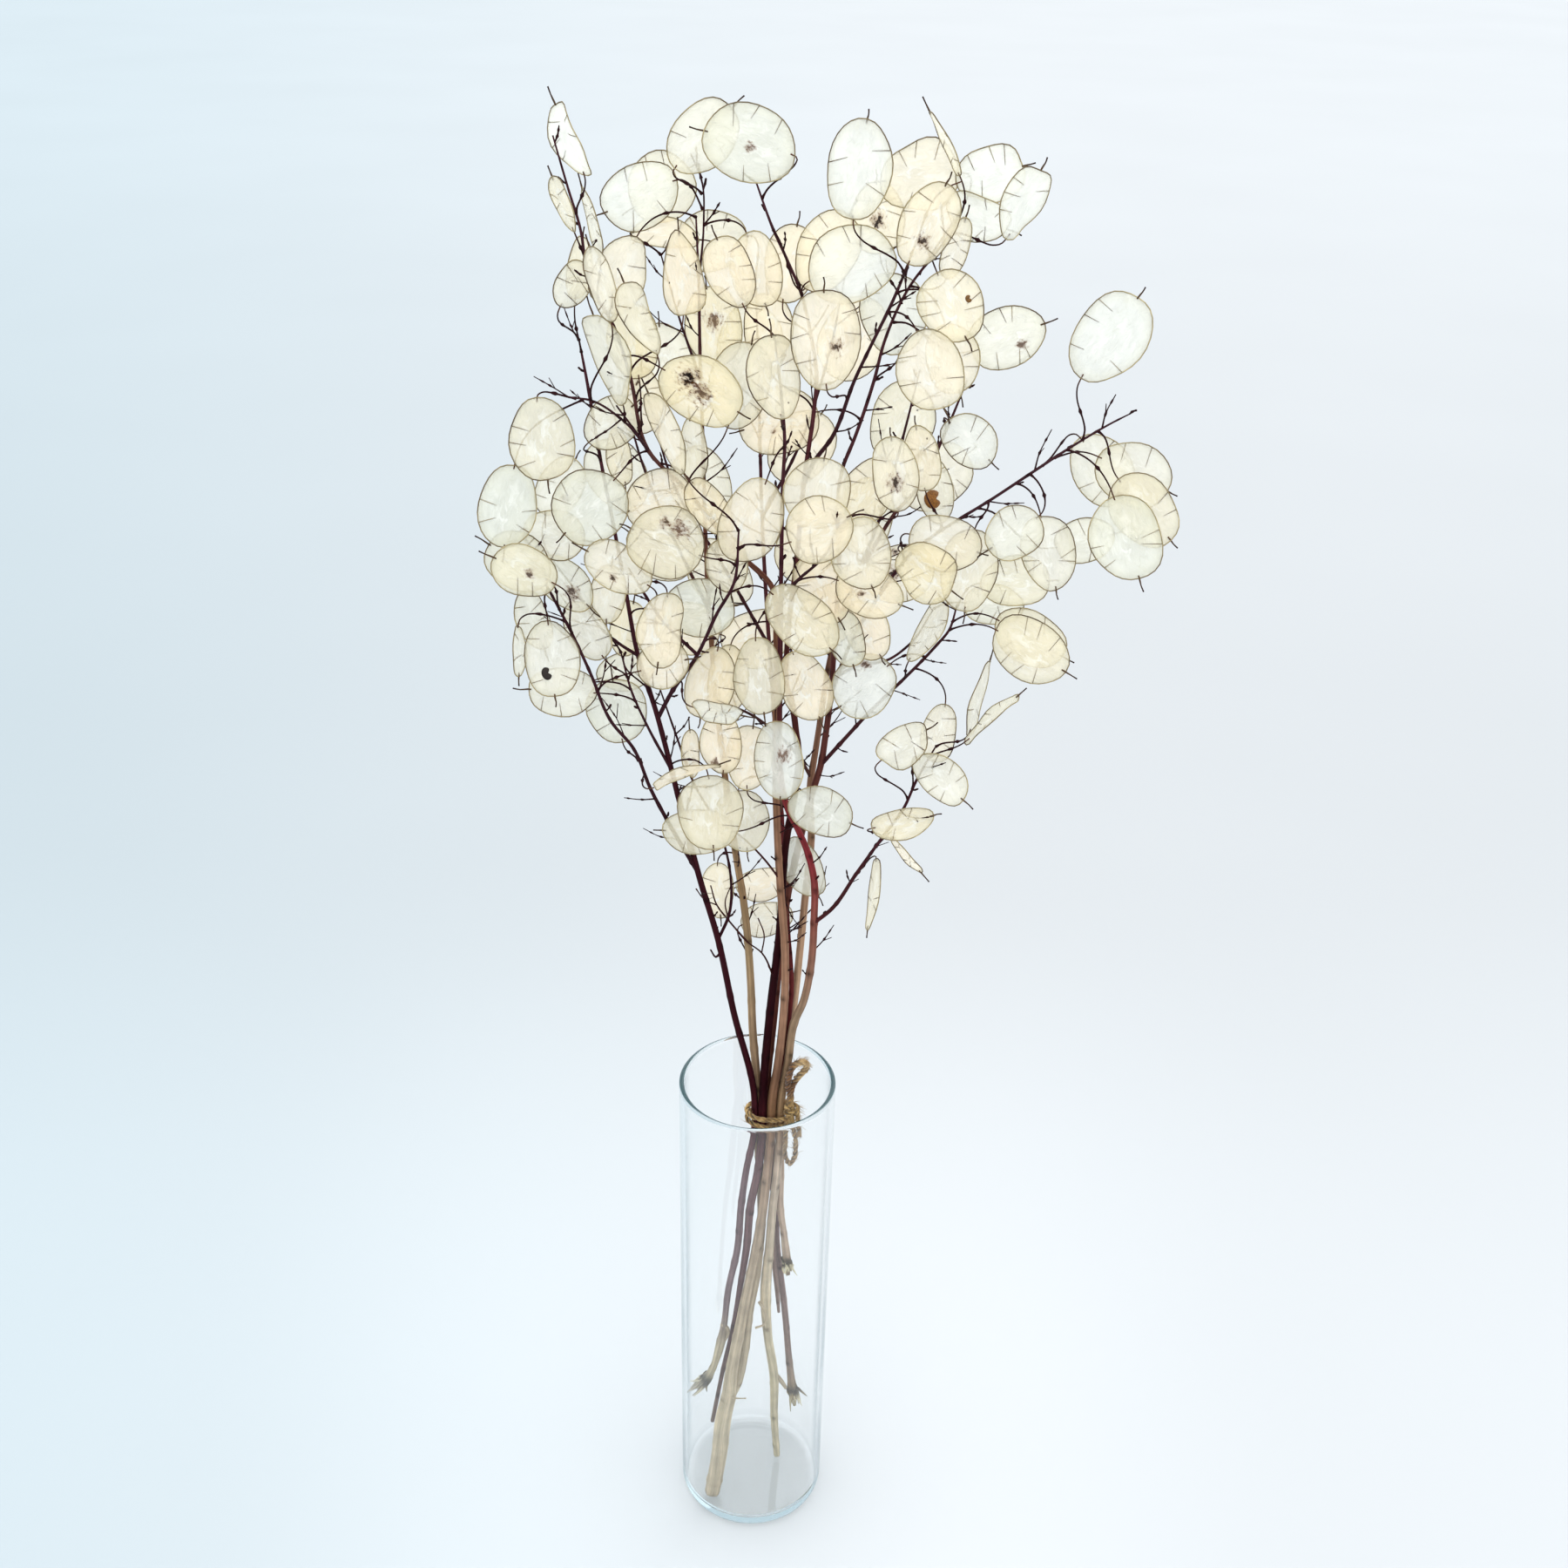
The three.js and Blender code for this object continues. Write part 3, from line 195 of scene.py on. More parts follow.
# Each plant from its foot to its tips. Feet and legs are x, y, z and radius; heads and branches are
# u, v, depth and radius.
STEMS = [
  { "node": "stem_left_purple", "colour": "purple", "foot": [
    [-29, -10, 79, 0.9], [-25.5, -10, 86, 2.9], [-22.6, -10, 93, 2.0], [-17.7, -9, 114, 2.4],
    [-16.4, -8.6, 123, 1.9], [-13.7, -8, 153, 1.8], [-9, -6, 181.6, 1.8], [-7.4, -5, 209.5, 1.8],
    [-5, -4.2, 233, 1.75], [-1.2, -3, 259, 1.7], [-1.2, -3, 275, 1.7]],
  "head": [
    [-12.6, 331, -9, 1.6], [-20.3, 373, -12, 1.5], [-29.3, 408, -15, 1.5], [-39.7, 455, -17, 1.4],
    [-49, 497, -14, 1.3], [-56.5, 524, -9, 1.2], [-61.2, 554, -4, 1.1], [-65.6, 583, 0, 1.0],
    [-70.6, 614, 4, 0.9], [-75.6, 650, 8, 0.8], [-78, 665, 9, 0.5]],
  "branches": [
    [[-30, 411, -15, 1.0], [-42.7, 436, -22, 1.0], [-51.9, 456, -27, 0.95], [-60, 478, -31, 0.9],
      [-69, 490, -33, 0.9], [-78, 514.5, -36, 0.85], [-85.7, 534, -38, 0.8], [-93.3, 551, -38, 0.7],
      [-99, 564, -38, 0.65], [-101, 575, -37, 0.5]],
    [[-48, 493, -14.4, 1.0], [-41.8, 506, -20, 1.0], [-30, 525, -28, 0.95],
      [-21.2, 545.5, -34, 0.9], [-13.9, 560, -38, 0.8], [-12, 584, -38, 0.5]],
    [[-30, 525, -28, 0.8], [-46, 542, -30, 0.75], [-53, 553.5, -29, 0.7], [-60, 566, -26, 0.45]],
    [[-20.3, 373, -12, 0.8], [-15, 388, -10, 0.75], [-14.5, 410, -6, 0.7], [-20, 435, 0, 0.7],
      [-32, 460, 6, 0.7], [-40, 485, 8, 0.65], [-47, 508, 10, 0.45]],
    [[-56.5, 524, -9, 0.8], [-64, 529, -13, 0.75], [-72, 536, -17, 0.7], [-80, 549, -20, 0.45]],
    [[-42, 466, -16.6, 0.8], [-53, 489, -20, 0.7], [-60, 507, -22, 0.65], [-64, 525, -22, 0.45]],
    [[-19, 366, -11.6, 0.7], [-21, 363, -13, 0.65], [-24, 367, -15, 0.5]]] },

  { "node": "stem_pair_tan", "colour": "tan", "foot": [
    [-21.2, -19, 6.8, 4.1], [-17.8, -18, 35.8, 4.3], [-15.4, -16, 65.8, 4.4],
    [-12.8, -15, 80.4, 4.0], [-11.6, -14, 95, 3.5], [-7.6, -11, 123.3, 3.0],
    [-3.35, -8, 152.8, 2.6], [0.8, -7, 181, 2.5], [4.2, -6.2, 212, 2.4], [5.8, -5, 233, 2.35],
    [7.5, -3.7, 259, 2.3], [7.5, -3.7, 275, 2.3]],
  "head": [
    [10.5, 300, -5.5, 2.1], [12.6, 335, -6, 2.0], [12.3, 367, -7, 1.9], [9.1, 408, -8, 1.8],
    [6.7, 449, -6, 1.7], [5.5, 490, -2, 1.6], [5, 533, 2, 1.5], [2.5, 559, 2, 1.4],
    [-8.9, 571, 0, 1.3], [-20.6, 584.5, -4, 1.2], [-34.6, 602, -10, 1.1], [-50.4, 619, -16, 1.0],
    [-57.8, 652, -18, 0.9], [-63.7, 671, -18, 0.85], [-72.8, 688, -17, 0.8],
    [-76.2, 710.7, -16, 0.7], [-80, 724, -15, 0.6], [-85.5, 744.6, -14, 0.4]],
  "branches": [
    [[-50.4, 619, -16, 0.7], [-55.6, 627, -19, 0.6], [-63.4, 638, -24, 0.45]],
    [[-50.4, 619, -16, 0.7], [-60, 631, -28, 0.6], [-74, 640, -36, 0.55], [-83, 641, -42, 0.45]]],
  "second": { "colour": "olive", "foot": [
    [-12.8, -15, 76, 2.4], [-8.7, -13, 86, 2.6], [-4.9, -10, 106.5, 2.5], [-2.4, -7, 136, 2.4],
    [1.75, -4, 164.8, 2.3], [2.5, -2.8, 176, 2.2], [3.4, -0.8, 191, 2.2], [3, 0.1, 212, 2.1],
    [1.8, 0.6, 233, 2.1], [0.1, 1, 259, 2.1], [0.1, 1, 275, 2.1]],
  "head": [
    [-3, 322, 2, 2.0], [-4, 347, 4, 1.9], [-7.8, 393, 8, 1.8], [-12.1, 422, 12, 1.7],
    [-17, 460, 16, 1.6], [-22, 510, 20, 1.4], [-25.5, 560, 22, 1.2], [-27.7, 632, 22, 1.0],
    [-28.5, 660, 22, 0.9], [-29, 690, 20, 0.7], [-30, 715, 18, 0.45]],
  "branches": [
    [[-24, 545, 21.4, 0.9], [-40, 580, 30, 0.8], [-52, 610, 34, 0.7], [-60, 640, 36, 0.45]],
    [[-28.3, 650, 22, 0.7], [-36, 672, 24, 0.6], [-44, 700, 24, 0.4]],
    [[-29, 690, 20, 0.6], [-27, 712, 15, 0.5], [-28, 730, 10, 0.45], [-32, 739, 7, 0.35]]] } },

  { "node": "stem_dark_middle", "colour": "dark", "foot": [
    [-22, -10, 53.8, 1.1], [-16.2, -7, 92.8, 1.2], [-11.1, -5, 122.2, 1.3], [-7.3, -4, 153, 1.6],
    [-4.1, -5, 181.6, 2.0], [-2.5, -5, 209.5, 2.1], [1, -4.6, 233, 2.1], [2.8, -4.1, 259, 2.1],
    [2.8, -4.1, 275, 2.1]],
  "head": [
    [5.8, 331, -5, 2.0], [9.5, 378, -3, 1.9], [11.4, 428, 0, 1.8], [15.6, 460, 4, 1.7],
    [16.6, 474, 5, 1.7], [15.1, 487, 6, 1.6], [13.2, 500, 6, 1.6], [10, 512, 6, 1.5],
    [9.9, 528, 6, 1.4], [13, 570, 5, 1.3], [16, 612, 3, 1.2], [18.9, 638, 2, 1.1],
    [19.6, 652, 2, 1.0], [17, 668, 2, 0.9], [12.5, 685.6, 1, 0.8], [6, 700, 0, 0.75],
    [0.6, 711, -1, 0.7], [-6.3, 728.6, -3, 0.45]],
  "branches": [
    [[15.6, 606, 3.3, 1.0], [19.7, 616, -1, 1.0], [26.5, 626, -5, 0.95], [35.6, 652, -10, 0.9],
      [40.7, 664, -12, 0.85], [50.6, 687, -14, 0.8], [55, 699.5, -14, 0.6],
      [57.5, 708, -14, 0.4]]] },

  { "node": "stem_dark_right", "colour": "brown", "foot": [
    [24.8, 10, 46, 0.9], [23.4, 10, 57, 3.0], [22.4, 10, 66, 2.4], [20.3, 10, 86.5, 1.9],
    [18.3, 9, 111.9, 1.8], [15.9, 8, 137, 1.8], [12.2, 6, 170.4, 1.8], [9.8, 4.6, 210, 1.85],
    [6, 3, 233, 1.9], [4.4, -0.1, 259, 1.9], [4.4, -0.1, 275, 1.9]],
  "head": [
    [8, 331, 3, 1.8], [10, 365, 5, 1.8], [13, 400, 7, 1.75], [18, 430, 8, 1.7],
    [23, 455, 8, 1.7], [27, 472, 8, 1.65], [28.4, 485, 9, 1.6], [29.8, 500, 10, 1.5],
    [31, 530, 12, 1.3], [31.5, 570, 12, 1.1], [31.9, 614, 10, 1.0], [36.1, 626, 8, 0.95],
    [43.3, 651, 5, 0.9], [47, 668, 3, 0.8], [56, 690, 2, 0.7], [66, 704, 0, 0.6],
    [73, 714, 0, 0.4]],
  "branches": [
    [[30, 506, 10.4, 0.9], [38, 532, 6, 0.9], [50, 556, 0, 0.9], [64, 577, -6, 0.85],
      [81.4, 591, -12, 0.85], [94.3, 600, -14, 0.8], [111, 612.6, -14, 0.8],
      [125.6, 623.6, -12, 0.7], [144, 636, -9, 0.5], [151, 640, -8, 0.35]],
    [[27, 471, 8, 1.0], [38, 485.6, 2, 1.0], [49.6, 500.6, -4, 0.95], [62.7, 515.6, -10, 0.9],
      [76, 532, -16, 0.8], [81.5, 540, -18, 0.7], [84, 551, -19, 0.45]],
    [[30, 514, 11, 0.9], [40.6, 521, 13, 0.85], [55.6, 525, 15, 0.8], [64.7, 533, 15, 0.7],
      [74, 550, 12, 0.45]]] },

  { "node": "stem_red_bent", "colour": "red", "foot": [
    [15.1, 8, 7.1, 1.9], [12.8, 7, 40.2, 2.2], [12, 4, 76.7, 2.5], [8, 1, 112, 2.5],
    [6.5, -1, 146, 3.0], [7.9, -3, 178.8, 2.4], [9.1, -4, 208.6, 2.2], [11, -4, 233, 2.2],
    [12.2, -2.5, 259, 2.2], [12.2, -2.5, 275, 2.2]],
  "head": [
    [15.3, 300, -4.6, 2.1], [18, 325, -6, 2.0], [22, 337, -8, 1.9], [24.8, 355, -9, 1.9],
    [26, 388, -10, 1.8], [25.5, 408, -10, 1.8], [22.3, 422.6, -11, 1.7], [17.1, 436, -13, 1.6],
    [12, 447, -14, 1.6], [9, 460, -13, 1.5], [7.5, 475, -11, 1.4], [7.3, 493, -10, 1.4],
    [6.8, 540, -10, 1.3], [6.6, 575, -12, 1.1], [6.6, 608, -14, 1.0], [7, 622, -14, 0.9],
    [5, 645, -16, 0.8], [2, 668, -18, 0.45]],
  "branches": [
    [[25.9, 384, -9.9, 1.1], [33.8, 391.6, -14, 1.05], [45.7, 413, -20, 1.0],
      [56.7, 432.6, -25, 0.9], [66, 448.6, -29, 0.85], [71.5, 464.6, -31, 0.7],
      [79, 481.6, -32, 0.45]],
    [[6.7, 552, -10.8, 0.9], [14, 562, -24, 0.8], [24, 572, -34, 0.7], [36, 592, -38, 0.45]]],
  "legs": [
    [[12, 4, 78, 1.6], [17, 5.5, 69, 1.6], [19.2, 6, 64, 1.2]]] },

  { "node": "stem_pale", "colour": "pale", "foot": [
    [18.6, 1, 156, 1.0], [17.3, 1, 169, 2.2], [15.6, 0, 185, 1.8], [13.2, -1, 206, 1.8],
    [12.9, 1.2, 233, 1.9], [11.2, 2, 259, 2.0], [11.2, 2, 275, 2.0]],
  "head": [
    [14.2, 300, 3.8, 1.9], [17, 330, 5, 1.9], [20, 375, 9, 1.8], [21.3, 397, 12, 1.8],
    [23.5, 431, 16, 1.75], [22.3, 462, 19, 1.7], [23.9, 476, 20, 1.6], [25.7, 493, 22, 1.5],
    [30, 530, 26, 1.3], [38, 560, 29, 1.2], [46, 577, 29, 1.1], [55, 594, 26, 1.0],
    [63.5, 604.6, 24, 0.95], [74, 629.6, 20, 0.8], [81.6, 652, 16, 0.45]],
  "branches": [
    [[22.4, 464, 19, 0.9], [17, 474, 15, 0.85], [3.6, 489, 12, 0.8], [-5, 495.5, 10, 0.75],
      [-13.3, 499.6, 6, 0.7], [-22, 504, 2, 0.45]],
    [[38, 560, 29, 0.9], [48, 590, 42, 0.85], [56, 625, 50, 0.75], [62, 656, 54, 0.45]]] },

  { "node": "stem_thin_back", "colour": "rust", "foot": [
    [13.9, 2, 127, 0.8], [12.6, 2, 144, 1.3], [11, 1.5, 160, 1.3], [9.2, 0.2, 208, 1.3],
    [9.3, -0.2, 233, 1.3], [7.95, 0.2, 259, 1.3], [7.95, 0.2, 275, 1.3]],
  "head": [
    [12.3, 300, 0, 1.2], [15, 325, -1, 1.2], [16, 345, 2, 1.2], [13.5, 380, 14, 1.2],
    [11, 420, 26, 1.2], [7, 470, 36, 1.2], [2, 530, 44, 1.1], [-2, 590, 48, 1.0],
    [-4, 640, 48, 0.8], [-6, 690, 44, 0.45]],
  "branches": [
    [[2, 530, 44, 0.9], [-20, 570, 52, 0.85], [-38, 600, 55, 0.75], [-50, 640, 54, 0.45]],
    [[-2, 590, 48, 0.8], [14, 625, 54, 0.75], [24, 660, 55, 0.65], [30, 695, 50, 0.4]]] },
]

SEEDS = [  # seeds still stuck to a sheet: u, v, long, wide, turn in degrees and colour
    (-98, 514, 5.6, 4.4, 20, "#1d120d"), (69.5, 600, 8.0, 9.6, 180, "#754a16"),
    (80, 685.5, 3.0, 2.6, 0, "#6b4a24"),
]
PODS = [  # middle's u and v, depth, length and width as seen, and the way it points in degrees
  [-23.8, 444.5, -40, 34, 30, -85], [7, 472.5, -36, 36, 21.5, -85], [27.5, 446, -30, 31.5, 21, -20],
  [-36, 463, -36, 33, 4, 21], [-21, 497, -42, 23, 9, -8], [-24.7, 511, -32, 33, 21, -103],
  [-2, 515, -34, 35, 21.5, -82], [19, 511, -26, 33, 21, -66], [45, 511.5, -12, 30, 26, 222],
  [16, 542.5, -34, 37, 24, -42], [41, 575, -46, 31, 25, -70], [22.5, 585.5, -38, 29, 27, 25],
  [-6.8, 588.5, -34, 36.5, 25.5, 250], [-43.2, 578, -42, 33, 30, 160], [21.3, 602, -28, 30, 27, 80],
  [-45.3, 537, -44, 32, 20, -97], [-95.3, 521, -46, 34, 23.5, -84],
  [-110, 525.2, -42, 23, 5.5, -88], [-76, 593.5, -26, 33, 30, 228],
  [-95, 622.5, -46, 34.5, 26, -82], [-110.5, 592.5, -42, 35.5, 23.5, -97],
  [-64.5, 565.5, -36, 32, 19, 152], [-28, 645, -24, 37, 25, -28], [2.8, 652, -28, 34, 21, 98],
  [22.5, 668, -20, 39, 28, 93], [66.4, 655.8, -30, 33, 26, -68], [73.3, 682.5, -24, 29, 25, -63],
  [61.5, 714.5, -24, 34, 21, 66], [34, 734.5, -16, 37, 24.5, 83], [32, 698, -12, 36, 28, 22],
  [-9.2, 743.5, -4, 36, 28, 167], [-52, 722.5, 10, 31, 24, 205], [-36, 692, 0, 33, 15.5, 94],
  [-66.4, 657.5, -30, 39, 13, 109], [-68.6, 688, -27, 31, 10, 107], [-52.8, 675, -30, 32, 11, 116],
  [-79, 743.5, -13, 29, 9.5, 113], [-82.5, 719, -21, 22, 6, 112], [-71.7, 712.5, -11, 26.5, 4, 105],
  [138.5, 671.4, -12, 39, 27.5, 57], [155, 585, -28, 37, 29, -70], [161, 598, -20, 34, 25, -47],
  [154.8, 613.5, -10, 33, 25, -25], [118, 531, -26, 36, 26, -30], [82.3, 465, -38, 29, 18, -42],
  [64.2, 482, -38, 26, 17, 35], [70, 567, -28, 28, 23, -35], [88.5, 568.5, -22, 35, 24, -95],
  [106.5, 586, -24, 25, 22, 215], [66, 441.5, -34, 29, 14, 13], [104, 497, -30, 31, 5, 43],
  [97.5, 508, -24, 34, 5, 76], [99.5, 723.5, -14, 29, 15, 66], [81.5, 718, -22, 27, 16, -22],
  [54, 611, -24, 31, 19, 98], [42.5, 603, -16, 31, 21, 60], [-16.5, 694, -6, 29, 18, 113],
  [-5.8, 695, 6, 29, 20, -74], [-88.5, 558, -34, 30, 18, -42], [-108, 567.5, -46, 30, 23, 150],
  [-79.5, 535, -28, 28, 17, 125], [-45.5, 519.5, -34, 23, 20, 15], [-66.4, 496.5, -24, 29, 26, 100],
  [-91, 505.5, -26, 31, 21, 178], [-30, 434, -26, 33, 20, 180], [-9, 440.5, -22, 29, 24, -80],
  [20, 416, 0, 30, 18, -62], [-20, 401.5, 10, 26, 14.5, -85], [-33, 475, -26, 22, 8, 95],
  [-19, 481, -22, 28, 18, 95], [-6, 474, -14, 29, 21, 85], [45, 557, -28, 31, 21, -20],
  [25, 558, -18, 31, 22, -60], [36.5, 534.5, -14, 26, 15, -75], [45, 539, -4, 27, 19, -60],
  [77, 580.5, -14, 31, 23, -14], [109, 563.5, -8, 30, 21, 3], [122, 577.5, -18, 33, 22, -76],
  [137, 583, -8, 26, 18, 15], [117.5, 537, -14, 34, 22, -28], [71.5, 540, -2, 32, 10, 62],
  [80.5, 488.5, -28, 27, 15, -100], [68.5, 423.5, -24, 22, 3.5, -48],
  [53.5, 401.5, -26, 34, 5, -96], [96.5, 670, -14, 32, 23, 22], [84.5, 626.3, 4, 25, 20, -42],
  [85.5, 734, -4, 27, 20, 15], [58, 732.5, 0, 30, 26, 188], [66.5, 745, -10, 27, 3, 119],
  [73.5, 705, -14, 24, 10, 75], [-61, 691.5, -10, 30, 21, 246], [-42.5, 707.5, 6, 27, 11, -5],
  [-43.5, 726, 20, 27, 25, 215], [-27, 745, 8, 32, 22, 45], [-23.5, 706, 26, 28, 22, 190],
  [7.5, 698, 24, 31, 20, 80], [22.6, 703, 2, 33, 23, 60], [-65.5, 630.5, -26, 24, 20, 40],
  [-43, 627, -30, 36, 10, 115], [-46, 597, -20, 30, 24, 200], [-24.5, 595, -14, 27, 15, -52],
  [-91.5, 580.5, -26, 27, 20, -10], [4.5, 633, 8, 33, 27, 195], [-12, 648, 4, 36, 24, 75],
  [-17, 568.5, -26, 24, 17.5, -80], [-29, 548, -14, 31, 25, 5], [64.5, 618, -6, 27, 15, 100],
  [70.5, 605, 2, 30, 15, 105], [-102, 540, -28, 27, 14, -70], [-105.5, 563.5, -36, 29, 21, 158],
  [-68.8, 553.5, -14, 25, 15, 85], [-17, 513, -14, 30, 18, -95], [-62, 517, 6, 26, 17, 20],
  [-80, 687.5, -6, 20, 13, 60], [-77, 694, 0, 24, 10, 82], [75, 661, -16, 28, 21, -75],
  [50, 679, 16, 32, 26, 100], [42, 716, 14, 28, 20, 95], [141, 615, 0, 31, 24, -55],
  [100, 552, 8, 26, 17, -5], [-1, 672, 12, 28, 19, 92], [-56, 665, 2, 30, 20, 100],
  [-32, 619, 0, 28, 11, 95], [-53, 640, 2, 27, 17, 90], [-62, 616, -12, 24, 10, 100],
  [-88, 602, 2, 27, 18, 62], [-60.5, 537, 8, 25, 15, 80], [1, 406, 18, 26, 15, 10],
  [3, 386, 20, 25, 16, 15], [-23.4, 672, 36, 32, 22, 100], [-64, 608, 50, 32, 24, 120],
  [-44, 655, 62, 34, 26, 95], [-28, 604, 66, 33, 25, 110], [-8, 664, 60, 34, 26, 80],
  [14, 622, 66, 33, 25, 60], [34, 668, 60, 34, 26, 70], [56, 634, 62, 33, 26, 75],
  [72, 610, 42, 32, 24, 40], [-20, 564, 62, 32, 24, 130], [18, 578, 60, 33, 25, 50],
  [42, 592, 56, 32, 24, 80], [-46, 574, 44, 31, 23, 150], [-4, 534, 56, 32, 24, 200],
  [28, 545, 48, 32, 24, 40], [58, 566, 46, 31, 24, 20], [-34, 538, 38, 30, 22, 170],
]

# ---------- where everything is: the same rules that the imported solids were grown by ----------
def nearer(y):
    """The real size at depth y of what measures 1 on the sheet through the vase's axis."""
    return (y - EYE.y) / -EYE.y


def seen(u, v, y):
    """A place in the head: u across and v up on the sheet through the vase's axis, at depth y."""
    k = nearer(y)
    return Vector((EYE.x + k * (u - EYE.x), y, EYE.z + k * (v - EYE.z)))


def draw(i, j):
    """Seeded draw between 0 and 1 for pod number i and purpose j."""
    return ((i * 7919 + j * 104729 + 4242) ** 2 % 9973) / 9973


def smooth(points, rows):
    """A curve through points [x, y, z, radius], leaning towards the shorter span at each."""
    spots = [Vector(p) for p in points]
    spans = [(q.xyz - p.xyz).length for p, q in zip(spots, spots[1:])]
    slopes = [(q - p) / long for p, q, long in zip(spots, spots[1:], spans)]
    ways = []
    for i in range(len(spots)):
        before, after = max(i - 1, 0), min(i, len(spans) - 1)
        mixed = slopes[before] * spans[after] + slopes[after] * spans[before]
        ways.append(mixed / (spans[before] + spans[after]))
    line = []
    for i, long in enumerate(spans):
        for k in range(rows):
            t = k / rows
            line.append(spots[i] * ((1 + 2 * t) * (1 - t) ** 2)
                        + spots[i + 1] * (t * t * (3 - 2 * t))
                        + (ways[i] * (t * (1 - t) ** 2) - ways[i + 1] * (t * t * (1 - t))) * long)
    line.append(spots[-1])
    return line


def length_of(line):
    return sum((q.xyz - p.xyz).length for p, q in zip(line, line[1:]))


def in_head(row):
    """A row of a head or branch as x, y, z and radius."""
    u, v, y, r = row
    return [*seen(u, v, y), r]


def stem_lines(stem, number, colour):
    """Every stem, side branch and root leg of one plant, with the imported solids' straight spans."""
    runs = [stem["foot"] + [in_head(row) for row in stem["head"]]]
    runs += [[in_head(row) for row in branch] for branch in stem["branches"]] + stem.get("legs", [])
    lines = [{"stem": number, "points": run, "main": i == 0, "colour": colour}
             for i, run in enumerate(runs)]
    if "second" in stem:
        lines += stem_lines(stem["second"], number, stem["second"]["colour"])
    return lines


def spots_along(points):
    """The places on the straight spans where a stalk may root, three to a span."""
    spots = []
    for p, q in zip(points, points[1:]):
        p, q = Vector(p[:3]), Vector(q[:3])
        spots += [p, p + (q - p) / 3, p + (q - p) * 2 / 3]
    return spots + [Vector(points[-1][:3])]


def pod_frame(number, row, y):
    """a points from stalk to beak, n out of the face, b across; hl and hw are half the sizes."""
    u, v, _, long, wide, way = row
    k = nearer(y)
    c = seen(u, v, y)
    w = (c - EYE).normalized()
    right = Vector((1 - w.x * w.x, -w.x * w.y, -w.x * w.z)).normalized()
    turn = math.radians(way)
    a = right * math.cos(turn) + right.cross(w) * math.sin(turn)
    least = math.cos(math.radians(TURNED[0] + TURNED[1] * draw(number, 1)))
    full = max(wide / least, BLADE["slimmest"] * long)
    tilt = math.acos(wide / full) * (-1 if draw(number, 2) < 0.5 else 1)
    n = -w * math.cos(tilt) + (-w).cross(a) * math.sin(tilt)
    f = {"number": number, "u": u, "v": v, "c": c, "a": a, "n": n, "b": n.cross(a), "worn": 1.0,
         "hl": k * long / 2, "hw": k * full / 2, "bend": BLADE["bend"] * (2 * draw(number, 3) - 1)}
    f["beak"] = surface(f, 1, 0) + a * (BLADE["beak"] * (0.7 + 0.5 * draw(number, 5)))
    return f


def surface(f, x, y):
    """A place on a pod's blade: x from -1 at the stalk to 1 at the beak, y across."""
    bow = f["bend"] * (1 - min(1, x * x))
    return f["c"] + f["a"] * (f["hl"] * x) + f["b"] * (f["hw"] * y) + f["n"] * bow


def stalk_path(root, way, f):
    """An arching stalk from a place on a stem to the pod's near end."""
    end = surface(f, -1, 0)
    far = (end - root).length
    out = ((end - root).normalized() + way * 0.7).normalized()
    p = root + out * (0.35 * far)
    q = end - f["a"] * (0.4 * far)
    sunk = end + f["a"] * 1.5
    path = []
    for i in range(7):
        t = i / 6
        s = 1 - t
        path.append(root * s ** 3 + p * (3 * s * s * t) + q * (3 * s * t * t) + sunk * t ** 3)
    return path


def stalk_roots(f, lines):
    """Where this pod's stalk could leave a stem, the best places first."""
    end = surface(f, -1, 0)
    roots = []
    for line in lines:
        for before, at in zip(line["spots"], line["spots"][1:]):
            far = (end - at).length
            if at.z < LOWEST_STALK or not STALK_LENGTHS[0] <= far <= STALK_LENGTHS[1]:
                continue
            way = (at - before).normalized()
            d = (end - at) / far
            cost = (abs(far - STALK_REACH) + POD_WAY_COST * (1 - d.dot(f["a"]))
                    + STEM_WAY_COST * (1 - d.dot(way)))
            roots.append((cost, line["stem"], at, way))
    return sorted(roots, key=lambda r: r[0])[:ROOTS_TRIED]


def corner_tree(stem):
    """A search tree of one plant's packed corners, in millimetres."""
    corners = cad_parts[stem["node"]].data.vertices
    tree = KDTree(len(corners))
    for v in corners:
        tree.insert(v.co / MM, v.index)
    tree.balance()
    return tree


def packed_place(number, row, trees):
    """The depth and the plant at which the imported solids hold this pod, found by its beak's tip."""
    best = None
    for k in range(DEPTH_TRIES):
        f = pod_frame(number, row, row[2] + DEPTH_STEP * math.ceil(k / 2) * (1 if k % 2 else -1))
        for i, tree in enumerate(trees):
            off = tree.find(f["beak"])[2]
            if best is None or off < best[0]:
                best = (off, i, f)
    if best[0] > PLACE_OFF:
        raise RuntimeError(f"the packed solids hold no pod {number}; pack part.mjs again")
    return best[2], best[1]


def packed_stalk(f, lines, tree):
    """The stalk whose packed rings lie nearest to the candidate's path."""
    best = None
    for _, owner, at, way in stalk_roots(f, lines):
        if owner != f["stem"]:
            continue
        path = stalk_path(at, way, f)
        off = min(sum(abs(hit[2] - STALK_RING) for hit in tree.find_n(path[i], 4)) for i in (2, 3))
        if best is None or off < best[0]:
            best = (off, path)
    return best[1]


def place_everything():
    """All lines and pods, in the order of the tables."""
    lines = [line for number, stem in enumerate(STEMS)
             for line in stem_lines(stem, number, stem["colour"])]
    for line in lines:
        line["spots"] = spots_along(line["points"])
        line["fine"] = smooth(line["points"], 8)
    trees = [corner_tree(stem) for stem in STEMS]
    pods = []
    for number, row in enumerate(PODS):
        f, f["stem"] = packed_place(number, row, trees)
        f["stalk"] = packed_stalk(f, lines, trees[f["stem"]])
        pods.append(f)
    return lines, pods


def nearest_pod(u, v):
    """The pod whose middle is seen nearest to u, v."""
    return min(PLACED, key=lambda f: (f["u"] - u) ** 2 + (f["v"] - v) ** 2)


